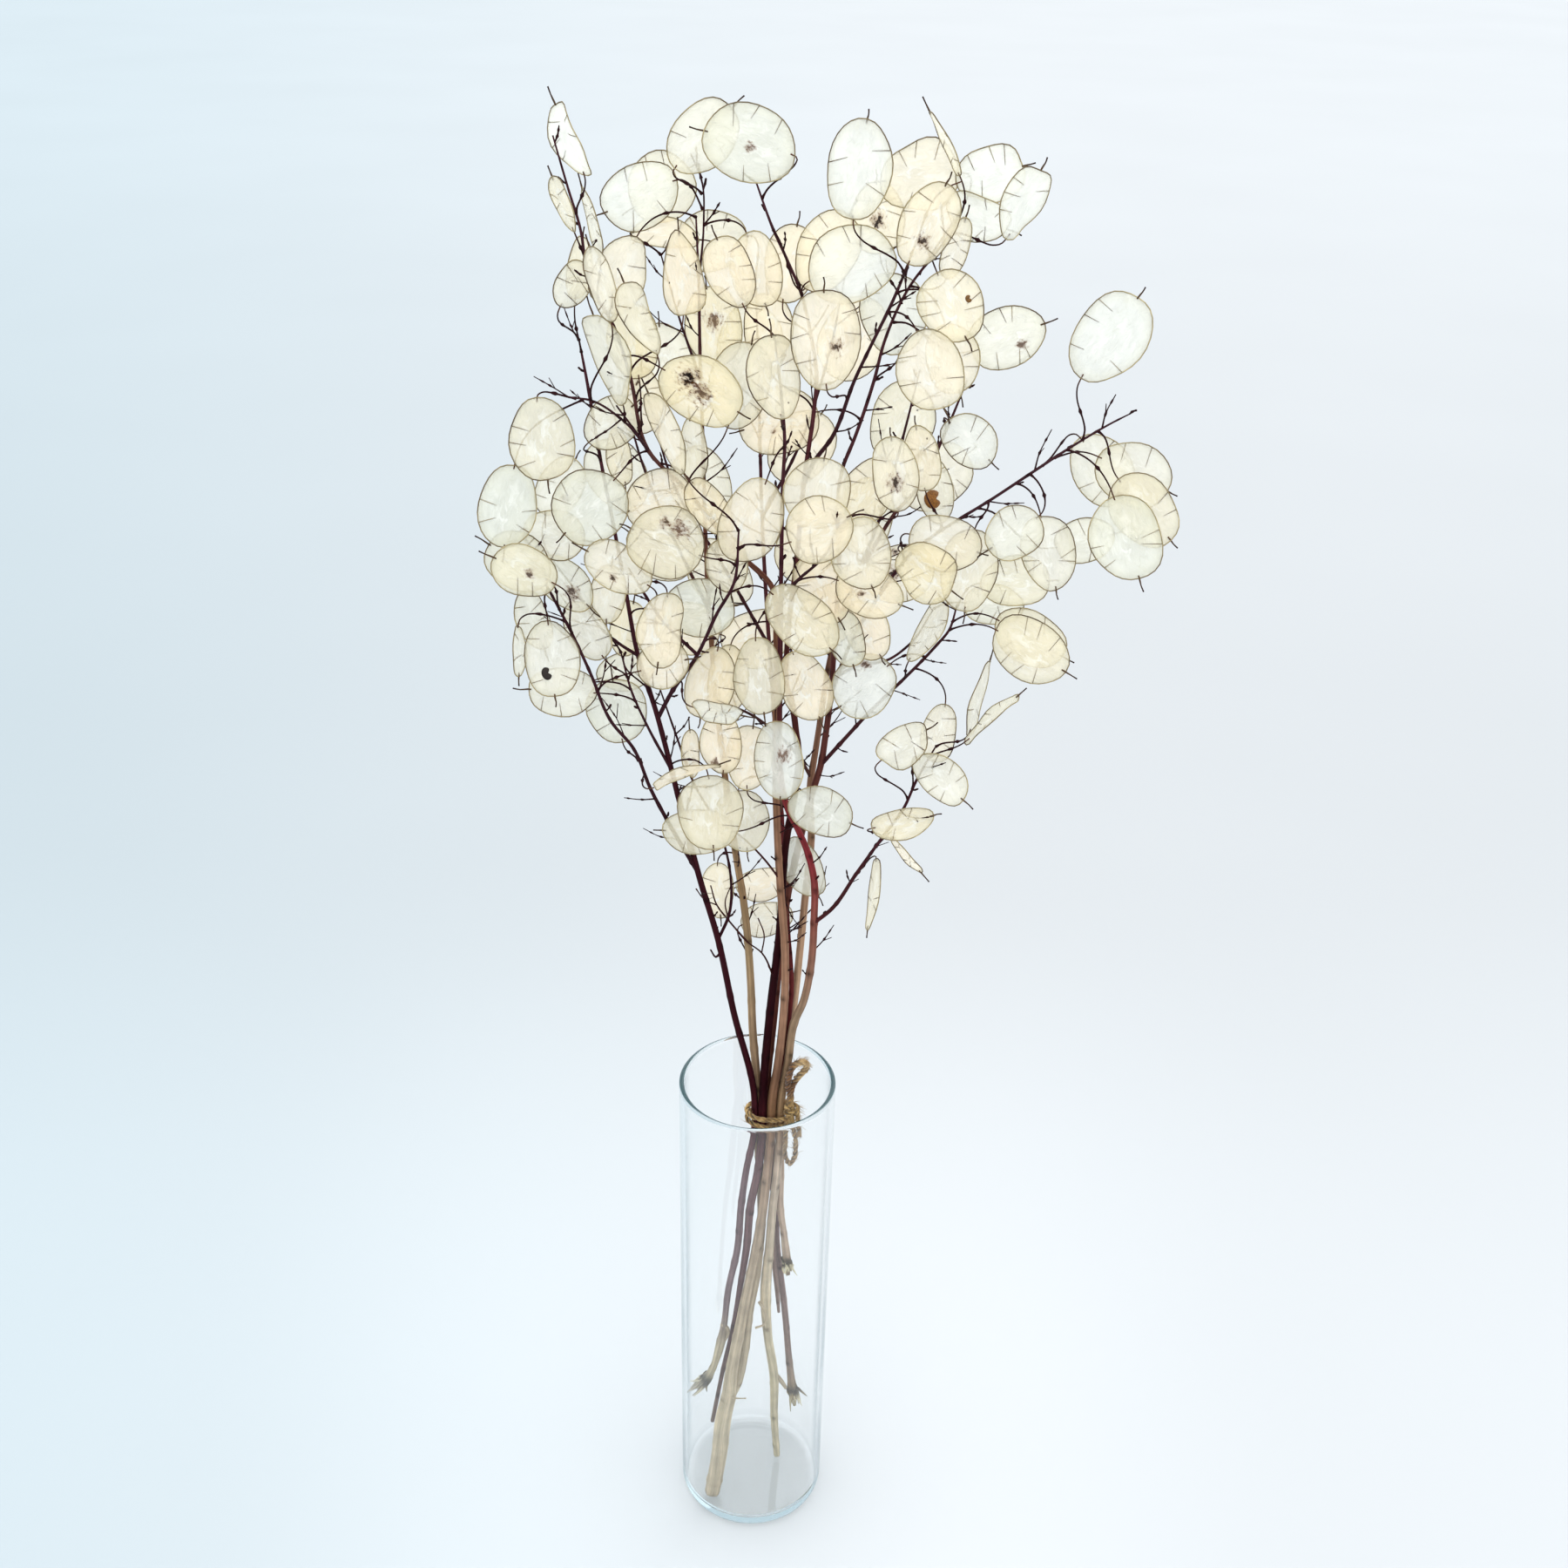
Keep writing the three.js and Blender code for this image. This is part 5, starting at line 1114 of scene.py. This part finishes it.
def seed_on(f, row):
    """A seed stuck to a pod's sheet."""
    u, v, long, wide, turn, code = row
    corners = corners_of(seed_blank())
    x, y = on_pod(f, u, v)
    angle = math.radians(turn)
    spin = np.array([[math.cos(angle), -math.sin(angle)], [math.sin(angle), math.cos(angle)]])
    flat = (corners[:, :2] * (long, wide)) @ spin.T + (x, y)
    sheet = lifted(f, flat[:, 0] / f["hl"], flat[:, 1] / f["hw"])
    rise = corners[:, 2] * wide + 0.06 * wide
    # painted light: the seed is lighter towards its top, and painted shade darkens it where it meets
    # the sheet
    paint = [(*[c * (1 + 0.8 * h / wide) for c in linear(code)[:3]], 1) for h in rise]
    return copied(seed_blank(), sheet + np.outer(rise, np.array(f["n"])), paint)


def pod_hoop(f, thick):
    """The frame round a pod, thick mm in radius and brown in places."""
    corners = corners_of(hoop_blank())
    turn = round_angle(corners)
    x, y = outline(f, turn)
    a, b, n = axes(f, "abn")
    out = unit_rows(np.outer(x * f["hl"], a) + np.outer(y * f["hw"], b))
    away = (np.hypot(corners[:, 0], corners[:, 1]) - 1) / HOOP_CORD * thick
    rise = corners[:, 2] / HOOP_CORD * thick
    p = phases(f, 40, 2)
    brown = (0.25 + 0.45 * draw(f["number"], 42) + 0.3 * np.sin(turn + p[0])
             + 0.2 * np.sin(3 * turn + p[1]))
    pale, dark = (np.array(linear(code)) for code in HOOP_TONES)
    paint = pale + (dark - pale) * np.clip(brown, 0, 1)[:, None]
    return copied(hoop_blank(), lifted(f, x, y) + out * away[:, None] + np.outer(rise, n), paint)


def pod_threads(f):
    """The seed threads that stay on a pod: two or three run in from each long side."""
    made = []
    for k in range(6):
        if draw(f["number"], 50 + k) < THREADS["missing"]:
            continue
        side = 1 if k % 2 else -1
        at = THREADS["places"][k // 2] + THREADS["spread"] * (draw(f["number"], 60 + k) - 0.5)
        long = THREADS["long"][0] + THREADS["long"][1] * draw(f["number"], 70 + k)
        lean = (0.1 + 0.35 * draw(f["number"], 80 + k)) * (-1 if at > 0.2 else 1)
        x0, y0 = outline(f, np.array([side * math.acos(at)]))
        share = np.linspace(0, 1, 4)
        x = x0 + share * lean * long / f["hl"]
        y = y0 * (1 - share * long / (abs(float(y0[0])) * f["hw"]))
        path = np.column_stack([lifted(f, x, y), THREADS["radii"]])
        tone = mixed(*map(linear, THREAD_TONES), draw(f["number"], 90 + k))
        made.append(rod(path, 3, 3, lambda mid, s: tone))
    return made


def stalk_rod(f):
    """The thread-like stalk: a bead where the flower sat, and the finer part beyond it."""
    bead = 0.42 + 0.14 * draw(f["number"], 100)
    fine = smooth([(*p, 0.46 - 0.16 * i / 6) for i, p in enumerate(f["stalk"])], 4)
    total = length_of(fine)
    dark, pale = linear(TWIG), linear(TWIG_PALE)
    return rod(fine, 5, 20, lambda mid, s: mixed(dark, pale, eased(s, 0.75, 1.0)),
               lambda at: 1 + bumps(at, [(bead * total, 1.5)], 0.75) + bumps(at, [(0, 0.8)], 1.2))


def beak_rod(f):
    """The dried style that a pod ends in, bent to one side."""
    tip, end = surface(f, 1, 0), f["beak"]
    middle = (tip + end) / 2 + f["b"] * (2.4 * (draw(f["number"], 110) - 0.5)) * 0.4
    path = [(*(tip - f["a"] * 1.5), 0.34), (*tip, 0.42), (*middle, 0.3), (*end, 0.34)]
    near, far = (linear(code) for code in BEAK_TONES)
    return rod(smooth(path, 3), 5, 5, lambda mid, s: mixed(near, far, s))


def stem_tone(name, high, main):
    """The colour at a height on a plant, with the painted shade around the tie; side branches darken
    sooner than the main stem.
    """
    stops = [(z, mixed(linear(code), BLACK, 0 if main else 0.3)) for z, code in STEM_TONES[name]]
    if not main:
        high += BRANCH_AGE
    for (z0, below), (z1, above) in zip(stops, stops[1:]):
        if high < z1:
            return mixed(below, above, min(1, max(0, (high - z0) / (z1 - z0))))
    return stops[-1][1]


def leaf_scars(seed, long, main):
    """Where leaves have dropped from a stem: place along it, how far it swells, and which side."""
    dice = random.Random(seed)
    swells, gaps = ((0.04, 0.13), (16, 34)) if main else ((0.14, 0.34), (9, 20))
    scars, at = [], dice.uniform(6, 20)
    while at < long - 4:
        scars.append((at, dice.uniform(*swells), dice.uniform(-3.1, 3.1)))
        at += dice.uniform(*gaps)
    return scars


def stem_rod(index, line):
    """A ribbed stem, thinner towards its top, with leaf scars and a dark knot where it was torn."""
    fine, main, name = line["fine"], line["main"], line["colour"]
    long = length_of(fine)
    sides, gap, wide, ribs, dot = (14, 1.6, 1.8, 0.05, 1.5) if main else (8, 2.0, 0.9, 0.02, 0.9)
    rows = max(8, 8 * round(long / gap / 8))
    scars = leaf_scars(index, long, main)
    knot = TORN.get(STEMS[line["stem"]]["node"], (-99, 0, 0))[0] if main else -99

    def swell(at):
        thin = np.interp(at / at[-1], (0.5, 0.85) if main else (0.0, 0.5), (1.0, 0.8))
        return thin * (1 + bumps(at, [scar[:2] for scar in scars], wide))

    def paint(mid, share):
        tone = stem_tone(name, mid[2], main)
        return mixed(tone, linear(KNOT_TONE), 0.92 * math.exp(-((mid[2] - knot) / 3.2) ** 2))

    return rod(fine, sides, rows, paint, swell, ribs, [(s + 0.6, way, dot) for s, _, way in scars])


def tossed(dice):
    """A direction and length by chance."""
    return Vector([dice.gauss(0, 1) for _ in range(3)])


def torn_foot(node, line):
    """Pale fibres that splay from a stem's torn root end."""
    knot, long, lean = TORN[node]
    dice = random.Random(f"torn {node}")
    start = min(line["fine"], key=lambda p: abs(p.z - knot))
    made = []
    for _ in range(TORN_FIBRES):
        way = (Vector(lean).normalized() + 0.26 * tossed(dice)).normalized()
        root = start.xyz + 1.4 * tossed(dice) * Vector((1, 1, 0.5))
        far = long * dice.uniform(0.45, 1.1)
        curl = tossed(dice) * 0.1 * far
        path = [(*root, 0.9), (*(root + way * far * 0.5), 0.75), (*(root + way * far + curl), 0.2)]
        tone = mixed(*map(linear, ROOT_TONES), dice.random() ** 1.6)
        made.append(rod(smooth(path, 3), 4, 6,
                        lambda mid, s: mixed(linear(ROOT_PITH), tone, eased(s, 0.1, 0.5))))
    return made


def spur_rod(path):
    """A bare side shoot with a bead at its tip."""
    low = path[0][1] < PALE_BELOW
    fine = smooth([in_head(row) for row in path], 5)
    return rod(fine, 6, 16, lambda mid, s: stem_tone("tan" if low else "dark", mid[2], low),
               lambda at: 1 + bumps(at, [(at[-1] * 0.97, 0.5)], 0.8))


def bare_twigs(index, line):
    """Spines left along a branch where pods have fallen, every other one a long arching stalk."""
    dice = random.Random(900 + index)
    fine = [p for p in line["fine"] if p.z > LOWEST_SPINE]
    if len(fine) < 6:
        return []
    made, run, count, due = [], 0, 0, dice.uniform(5, 14)
    dark = linear(TWIG)
    for before, p in zip(fine, fine[1:]):
        run += (p.xyz - before.xyz).length
        if run < due:
            continue
        run, due, count = 0, dice.uniform(8, 17), count + 1
        way = (p.xyz - before.xyz).normalized()
        aside = way.cross(Vector([dice.uniform(-1, 1) for _ in range(3)])).normalized()
        lead = (aside + way * dice.uniform(0.5, 1.1)).normalized()
        arches = count % 2 == 0 and p.z < HIGHEST_STALK
        long = dice.uniform(10, 21) if arches else dice.uniform(2.6, 7)
        bend = way * long * 0.25 + Vector((0, 0, -1)) * long * dice.uniform(-0.1, 0.25)
        fork = p.xyz + lead * long * 0.5
        path = [(*p.xyz, 0.42), (*fork, 0.3), (*(p.xyz + lead * long + bend), 0.22)]
        beads = [(long * dice.uniform(0.45, 0.7), 1.3), (long * dice.uniform(0.9, 1.0), 1.3)]
        made.append(rod(smooth(path, 4), 4, 8 if long < 8 else 16, lambda mid, s: dark,
                        lambda at: 1 + bumps(at, beads, 0.7)))
        if long > 8:
            tip = fork + (aside.cross(way) * 0.6 + lead).normalized() * long * 0.35
            made.append(rod([(*fork, 0.26), (*tip, 0.2)], 4, 4, lambda mid, s: dark))
    return made


def drawn_tight(angle, held):
    """How far the twine's middle lies from the tie's own middle when drawn tight."""
    least = math.inf
    for k in range(-40, 41):
        a = angle + math.radians(2 * k)
        reach = max(x * math.cos(a) + y * math.sin(a) + r for x, y, r in held)
        least = min(least, (reach + TIE["gap"] + TIE["radius"]) / math.cos(a - angle))
    return least


def tie_paths():
    """The two turns round the stems, the knot's coil, the bow's loops and the tail."""
    cx, cy = TIE["middle"]
    held = []
    for line in LINES:
        if line["main"]:
            x, y, _, r = next(p for p in line["points"] if p[2] == TIE["top"])
            held.append((x - cx, y - cy, r))
    start = math.atan2(KNOT.y - cy, KNOT.x - cx)
    wrap = [tuple(KNOT)]
    for i in range(12 * TIE["turns"] + 1):
        angle = start - i * math.pi / 6
        far = drawn_tight(angle, held)
        wrap.append((cx + far * math.cos(angle), cy + far * math.sin(angle),
                     TIE["low"] + TIE["pitch"] * i / 12))
    wrap.append(tuple(KNOT))
    coil = []
    for i in range(15):
        turn = i * 2 * math.pi / 8
        coil.append((KNOT.x + 2.0 * math.cos(turn), KNOT.y + 1.7 * math.sin(turn),
                     KNOT.z - 3 + 6 * i / 14))
    return [wrap, coil, *[[tuple(seen(*p)) for p in loop] for loop in LOOPS]]


def jute_tone(mid, share=0):
    """The twine is browner in its bow above the vase's lip, with painted shade there and a painted
    highlight at its tip, and paler and bluer in the loop inside the vase, partly as painted haze of
    the glass's reflection.
    """
    # painted highlight at the bow's tip, painted shade with the browner twine in the rest of the bow,
    # and painted haze on the loop inside the vase
    tip = eased(mid[0], 17, 21) * eased(mid[2], 291, 297)
    browner_and_shaded, pale = eased(mid[2], 277, 288) * (1 - tip), eased(mid[2], 264, 250)
    return (*(1 - up * browner_and_shaded + down * pale + far * tip for up, down, far in JUTE_SHIFTS), 1)


def plied(path, seed, thick):
    """Three plies twisted together along a path, uneven as spun by hand, with painted shade in their
    grooves.
    """
    dice = random.Random(seed)
    fine = smooth([(*p, 0.7) for p in path], 10)
    rows = max(12, round(length_of(fine) / 0.5))
    at, mid, _, side, up = along(fine, rows)
    made = []
    for k in range(3):
        turn = 2 * math.pi * (k / 3 + at / 8.4) + 0.5 * np.sin(at / 3.1 + k)
        away = thick * (0.73 + 0.1 * np.sin(at * 0.9 + dice.uniform(0, 6)))
        centre = mid + (away[:, None] * (side * np.cos(turn)[:, None] + up * np.sin(turn)[:, None]))
        girth = thick * (0.64 + 0.08 * np.sin(at * 1.3 + dice.uniform(0, 6))
                         + 0.05 * np.sin(at * 4.1 + k))
        made.append(rod(np.column_stack([centre, girth]), 8, 8 * max(1, round(rows / 8)), jute_tone,
                        core=mid))
    return made, mid


def fuzz(mid, dice, count):
    """Loose jute fibres: most lie along the twine, every third stands off it."""
    made = []
    for n in range(count):
        at = dice.randrange(1, len(mid) - 1)
        p, way = Vector(mid[at]), Vector(mid[at + 1] - mid[at - 1]).normalized()
        out = way.cross(tossed(dice)).normalized()
        curl = tossed(dice).normalized()
        run, off = (0.3, 1.0) if n % 3 == 0 else (1.0, 0.28)
        long = dice.uniform(1.8, 4.6)
        half = p + out * (1.3 + long * off * 0.4) + way * long * run * 0.5
        tip = p + out * (1.25 + long * off * 0.8) + way * long * run + curl * 0.6
        made.append(rod([(*(p + out * 1.1), 0.11), (*half, 0.1), (*tip, 0.055)], 3, 3, jute_tone))
    return made

# ---------- sizes and colours to change ----------
def size_of(name, tells, value, low, high):
    return FloatProperty(name=name, description=tells, default=value, min=low, max=high,
                         unit="LENGTH")


def share_of(name, tells, value):
    return FloatProperty(name=name, description=tells, default=value, min=0.0, max=1.0,
                         subtype="FACTOR")


def colour_of(name, tells, code):
    return FloatVectorProperty(name=name, description=tells, default=linear(code), size=4,
                               subtype="COLOR")


class HonestyLook(bpy.types.PropertyGroup):
    sheet: size_of("Septum thickness", "Thickness of a pod's papery sheet", 0.0002, 0.0001, 0.0007)
    hoop: size_of("Frame radius", "Half the thickness of the wire-like frame round a pod",
                  0.00027, 0.0002, 0.0006)
    septum_glow: share_of("Light let through", "Share of light that a sheet lets through", 0.5)
    septum_sheer: share_of("Sheerness", "Share of light that goes straight past a face", 0.49)
    septum_onward: share_of("Light scattered on", "Share of lamp light that passes a face", 0.84)
    hairs: IntProperty(name="Jute hairs", description="Loose hairs on the twine", default=420,
                       min=0, max=900)
    glass_tint: colour_of("Glass tint", "Colour of thick glass", "#7cc8cc")
    lip_tint: colour_of("Lip tint", "Glass seen along the wall from its lip", "#1c5559")
    side_tint: colour_of("Side tint", "Grey of the wall seen edge on", "#72878f")
    heel_tint: colour_of("Heel tint", "Glass seen along the wall from its heel", "#a8b5ba")
    glass_depth: FloatProperty(name="Glass depth", default=4.0, min=0.0, max=400.0,
                               description="How quickly the tint deepens, per metre")
    paper_far: colour_of("Paper away from the light", "Colour of the far side", "#aeb9bd")
    paper: colour_of("Paper", "Colour of the studio paper", "#bec1c2")


def look():
    return bpy.context.scene.honesty_look


def by_plant():
    """(node name, lines with their index, pods) for each plant."""
    for number, stem in enumerate(STEMS):
        lines = [(i, line) for i, line in enumerate(LINES) if line["stem"] == number]
        yield stem["node"], lines, [f for f in PLACED if f["stem"] == number]


class HONESTY_OT_studio(bpy.types.Operator):
    """Pale paper floor, soft light and the camera"""
    bl_idname = "honesty.studio"
    bl_label = "Studio"

    def execute(self, context):
        scene = context.scene
        deselect()
        bpy.ops.mesh.primitive_plane_add(size=60, location=(0, 0, -0.0004))
        floor = context.object
        bpy.ops.object.transform_apply(location=True)
        floor.name = "studio_paper"
        floor.data.materials.append(paper_material(look()))
        world = scene.world = bpy.data.worlds.new("soft_room")
        world.use_nodes = True
        world.node_tree.nodes.clear()
        way = add(world, "SeparateXYZ", add(world, "TexCoord").outputs["Generated"])
        up = add(world, "MapRange", way.outputs["Z"], -0.2, 1.0)
        sky = add(world, "MixRGB", up, linear("#e6ecf3"), linear("#fafcff"))
        add(world, "OutputWorld", add(world, "Background", sky, 1.72))
        for name, place, power in LAMPS:
            lamp = bpy.data.lights.new(name, "SUN")
            lamp.angle = math.radians(40)
            lamp.energy = power
            lamp.color = linear("#fffaf4")[:3]
            holder = bpy.data.objects.new(name, lamp)
            holder.location = place
            holder.rotation_euler = Vector(place).to_track_quat("Z", "Y").to_euler()
            scene.collection.objects.link(holder)
        lens = bpy.data.cameras.new("camera")
        lens.lens, lens.sensor_width = 41.2, 36
        camera = scene.camera = bpy.data.objects.new("camera", lens)
        camera.location = EYE * MM
        camera.rotation_euler = (Matrix.Rotation(math.radians(90 - CAMERA_DIP), 3, "X")
                                 @ Matrix.Rotation(math.radians(CAMERA_ROLL), 3, "Z")).to_euler()
        scene.collection.objects.link(camera)
        scene.view_settings.view_transform = "Standard"
        return {"FINISHED"}


class HONESTY_OT_vase(bpy.types.Operator):
    """Glass cylinder: a solid round, hollowed from its top, with melted lip and rounded heel"""
    bl_idname = "honesty.vase"
    bl_label = "Glass cylinder"

    def execute(self, context):
        radius, height, wall, base = VASE["radius"], VASE["height"], VASE["wall"], VASE["floor"]
        deselect()
        bpy.ops.mesh.primitive_cylinder_add(vertices=96, radius=radius, depth=height,
                                            location=(0, 0, height / 2), end_fill_type="NGON")
        vase = context.object
        bpy.ops.object.transform_apply(location=True)
        bpy.ops.object.mode_set(mode="EDIT")
        pick(vase, "FACE", lambda f: f.calc_center_median().z > height - 1e-4)
        bpy.ops.mesh.inset(thickness=wall)
        bpy.ops.mesh.extrude_region_move(TRANSFORM_OT_translate={"value": (0, 0, base - height)})

        def ring(edge, far, high):
            return all(abs(math.hypot(v.co.x, v.co.y) - far) < 2e-4 and abs(v.co.z - high) < 2e-4
                       for v in edge.verts)

        melted = wall * VASE["melted"]
        for far, high, size, steps in (
                (radius, 0, VASE["heel"], 6), (radius - wall, base, VASE["inner_heel"], 5),
                (radius, height, melted, 3), (radius - wall, height, melted, 3)):
            pick(vase, "EDGE", lambda e: ring(e, far, high))
            bpy.ops.mesh.bevel(offset=size, segments=steps, affect="EDGES")
        pick(vase, "FACE", lambda f: len(f.verts) > 60)
        for width in FLOOR_RINGS:
            bpy.ops.mesh.inset(thickness=width)
        bpy.ops.mesh.poke()
        for high in (*WALL_RINGS, *(height - below for below in LIP_RINGS)):
            bpy.ops.mesh.select_all(action="SELECT")
            bpy.ops.mesh.bisect(plane_co=(0, 0, high), plane_no=(0, 0, 1))
        bpy.ops.mesh.select_all(action="SELECT")
        bpy.ops.mesh.normals_make_consistent(inside=False)
        bpy.ops.object.mode_set(mode="OBJECT")
        gathered("glass_cylinder", [vase], glass_material(look()), "vase")
        return {"FINISHED"}


class HONESTY_OT_stems(bpy.types.Operator):
    """Ridged, jointed stems and branches of each plant"""
    bl_idname = "honesty.stems"
    bl_label = "Stems and branches"

    def execute(self, context):
        bark = bark_material()
        for node, lines, _ in by_plant():
            rods = [stem_rod(i, line) for i, line in lines]
            if node in TORN:
                rods += torn_foot(node, lines[0][1])
            rods += [spur_rod(path) for path in SPURS.get(node, ())]
            gathered(f"{node}_wood", rods, bark, node)
        return {"FINISHED"}


class HONESTY_OT_twigs(bpy.types.Operator):
    """Pod stalks with their beads, the beaks, and bare spines"""
    bl_idname = "honesty.twigs"
    bl_label = "Stalks and spines"

    def execute(self, context):
        bark = bpy.data.materials["dried_honesty_stem_bark"]
        for node, lines, pods in by_plant():
            rods = [stalk_rod(f) for f in pods] + [beak_rod(f) for f in pods]
            for i, line in lines:
                rods += bare_twigs(i, line)
            gathered(f"{node}_stalks", rods, bark, node)
        return {"FINISHED"}


class HONESTY_OT_septa(bpy.types.Operator):
    """The pods' papery sheets"""
    bl_idname = "honesty.septa"
    bl_label = "Pod sheets"

    def execute(self, context):
        skin, marks = septum_material(look()), marks_by_pod()
        for node, _, pods in by_plant():
            sheets = [pod_sheet(f, marks.get(f["number"], [])) for f in pods]
            piece = gathered(f"{node}_septa", sheets, skin, node)
            wall = piece.modifiers.new("wall", "SOLIDIFY")
            wall.thickness = look().sheet
            wall.offset = 0
            bpy.ops.object.modifier_apply(modifier="wall")
        return {"FINISHED"}


class HONESTY_OT_frames(bpy.types.Operator):
    """The wire-like frame round each pod and the seed threads on it"""
    bl_idname = "honesty.frames"
    bl_label = "Pod frames and seed threads"

    def execute(self, context):
        fibre = frame_material()
        for node, _, pods in by_plant():
            made = [part for f in pods for part in (pod_hoop(f, look().hoop / MM), *pod_threads(f))]
            gathered(f"{node}_frames", made, fibre, node)
        return {"FINISHED"}


class HONESTY_OT_seeds(bpy.types.Operator):
    """The few kidney-shaped seeds that stay stuck to a sheet"""
    bl_idname = "honesty.seeds"
    bl_label = "Seeds"

    def execute(self, context):
        coat = seed_material()
        for node, _, pods in by_plant():
            made = [seed_on(f, row) for row in SEEDS for f in pods if f is nearest_pod(*row[:2])]
            if made:
                gathered(f"{node}_seeds", made, coat, node)
        return {"FINISHED"}


class HONESTY_OT_tie(bpy.types.Operator):
    """Three-ply jute twine in two turns and a bow, with loose hairs"""
    bl_idname = "honesty.tie"
    bl_label = "Jute tie"

    def execute(self, context):
        jute = jute_material()
        dice = random.Random(7)
        plies, hairs = [], []
        paths = tie_paths()
        for k, path in enumerate(paths):
            made, mid = plied(path, k, 1.28 if k == UPPER_LOOP else 1.0)
            plies += made
            hairs += fuzz(mid, dice, look().hairs // len(paths))
            if k == UPPER_LOOP:
                hairs += fuzz(mid[len(mid) * 9 // 20:len(mid) * 12 // 20], dice, look().hairs // 4)
        gathered("jute_twine", plies, jute, "twine")
        gathered("jute_hairs", hairs, jute, "twine")
        return {"FINISHED"}


class HONESTY_PT_bunch(bpy.types.Panel):
    bl_idname = "HONESTY_PT_bunch"
    bl_label = "Dried honesty"
    bl_space_type = "VIEW_3D"
    bl_region_type = "UI"
    bl_category = "Honesty"

    def draw(self, context):
        for key in HonestyLook.__annotations__:
            self.layout.prop(look(), key)
        for maker in MAKERS:
            self.layout.operator(maker.bl_idname)


MAKERS = (HONESTY_OT_studio, HONESTY_OT_vase, HONESTY_OT_stems, HONESTY_OT_twigs, HONESTY_OT_septa,
          HONESTY_OT_frames, HONESTY_OT_seeds, HONESTY_OT_tie)
CLASSES = (HonestyLook, *MAKERS, HONESTY_PT_bunch)


def register():
    for part in CLASSES:
        bpy.utils.register_class(part)
    bpy.types.Scene.honesty_look = PointerProperty(type=HonestyLook)


def unregister():
    del bpy.types.Scene.honesty_look
    for part in reversed(CLASSES):
        bpy.utils.unregister_class(part)


def main():
    register()
    bpy.ops.honesty.studio()
    bpy.ops.honesty.vase()
    bpy.ops.honesty.stems()
    bpy.ops.honesty.twigs()
    bpy.ops.honesty.septa()
    bpy.ops.honesty.frames()
    bpy.ops.honesty.seeds()
    bpy.ops.honesty.tie()
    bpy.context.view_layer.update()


if __name__ == "__main__":
    main()
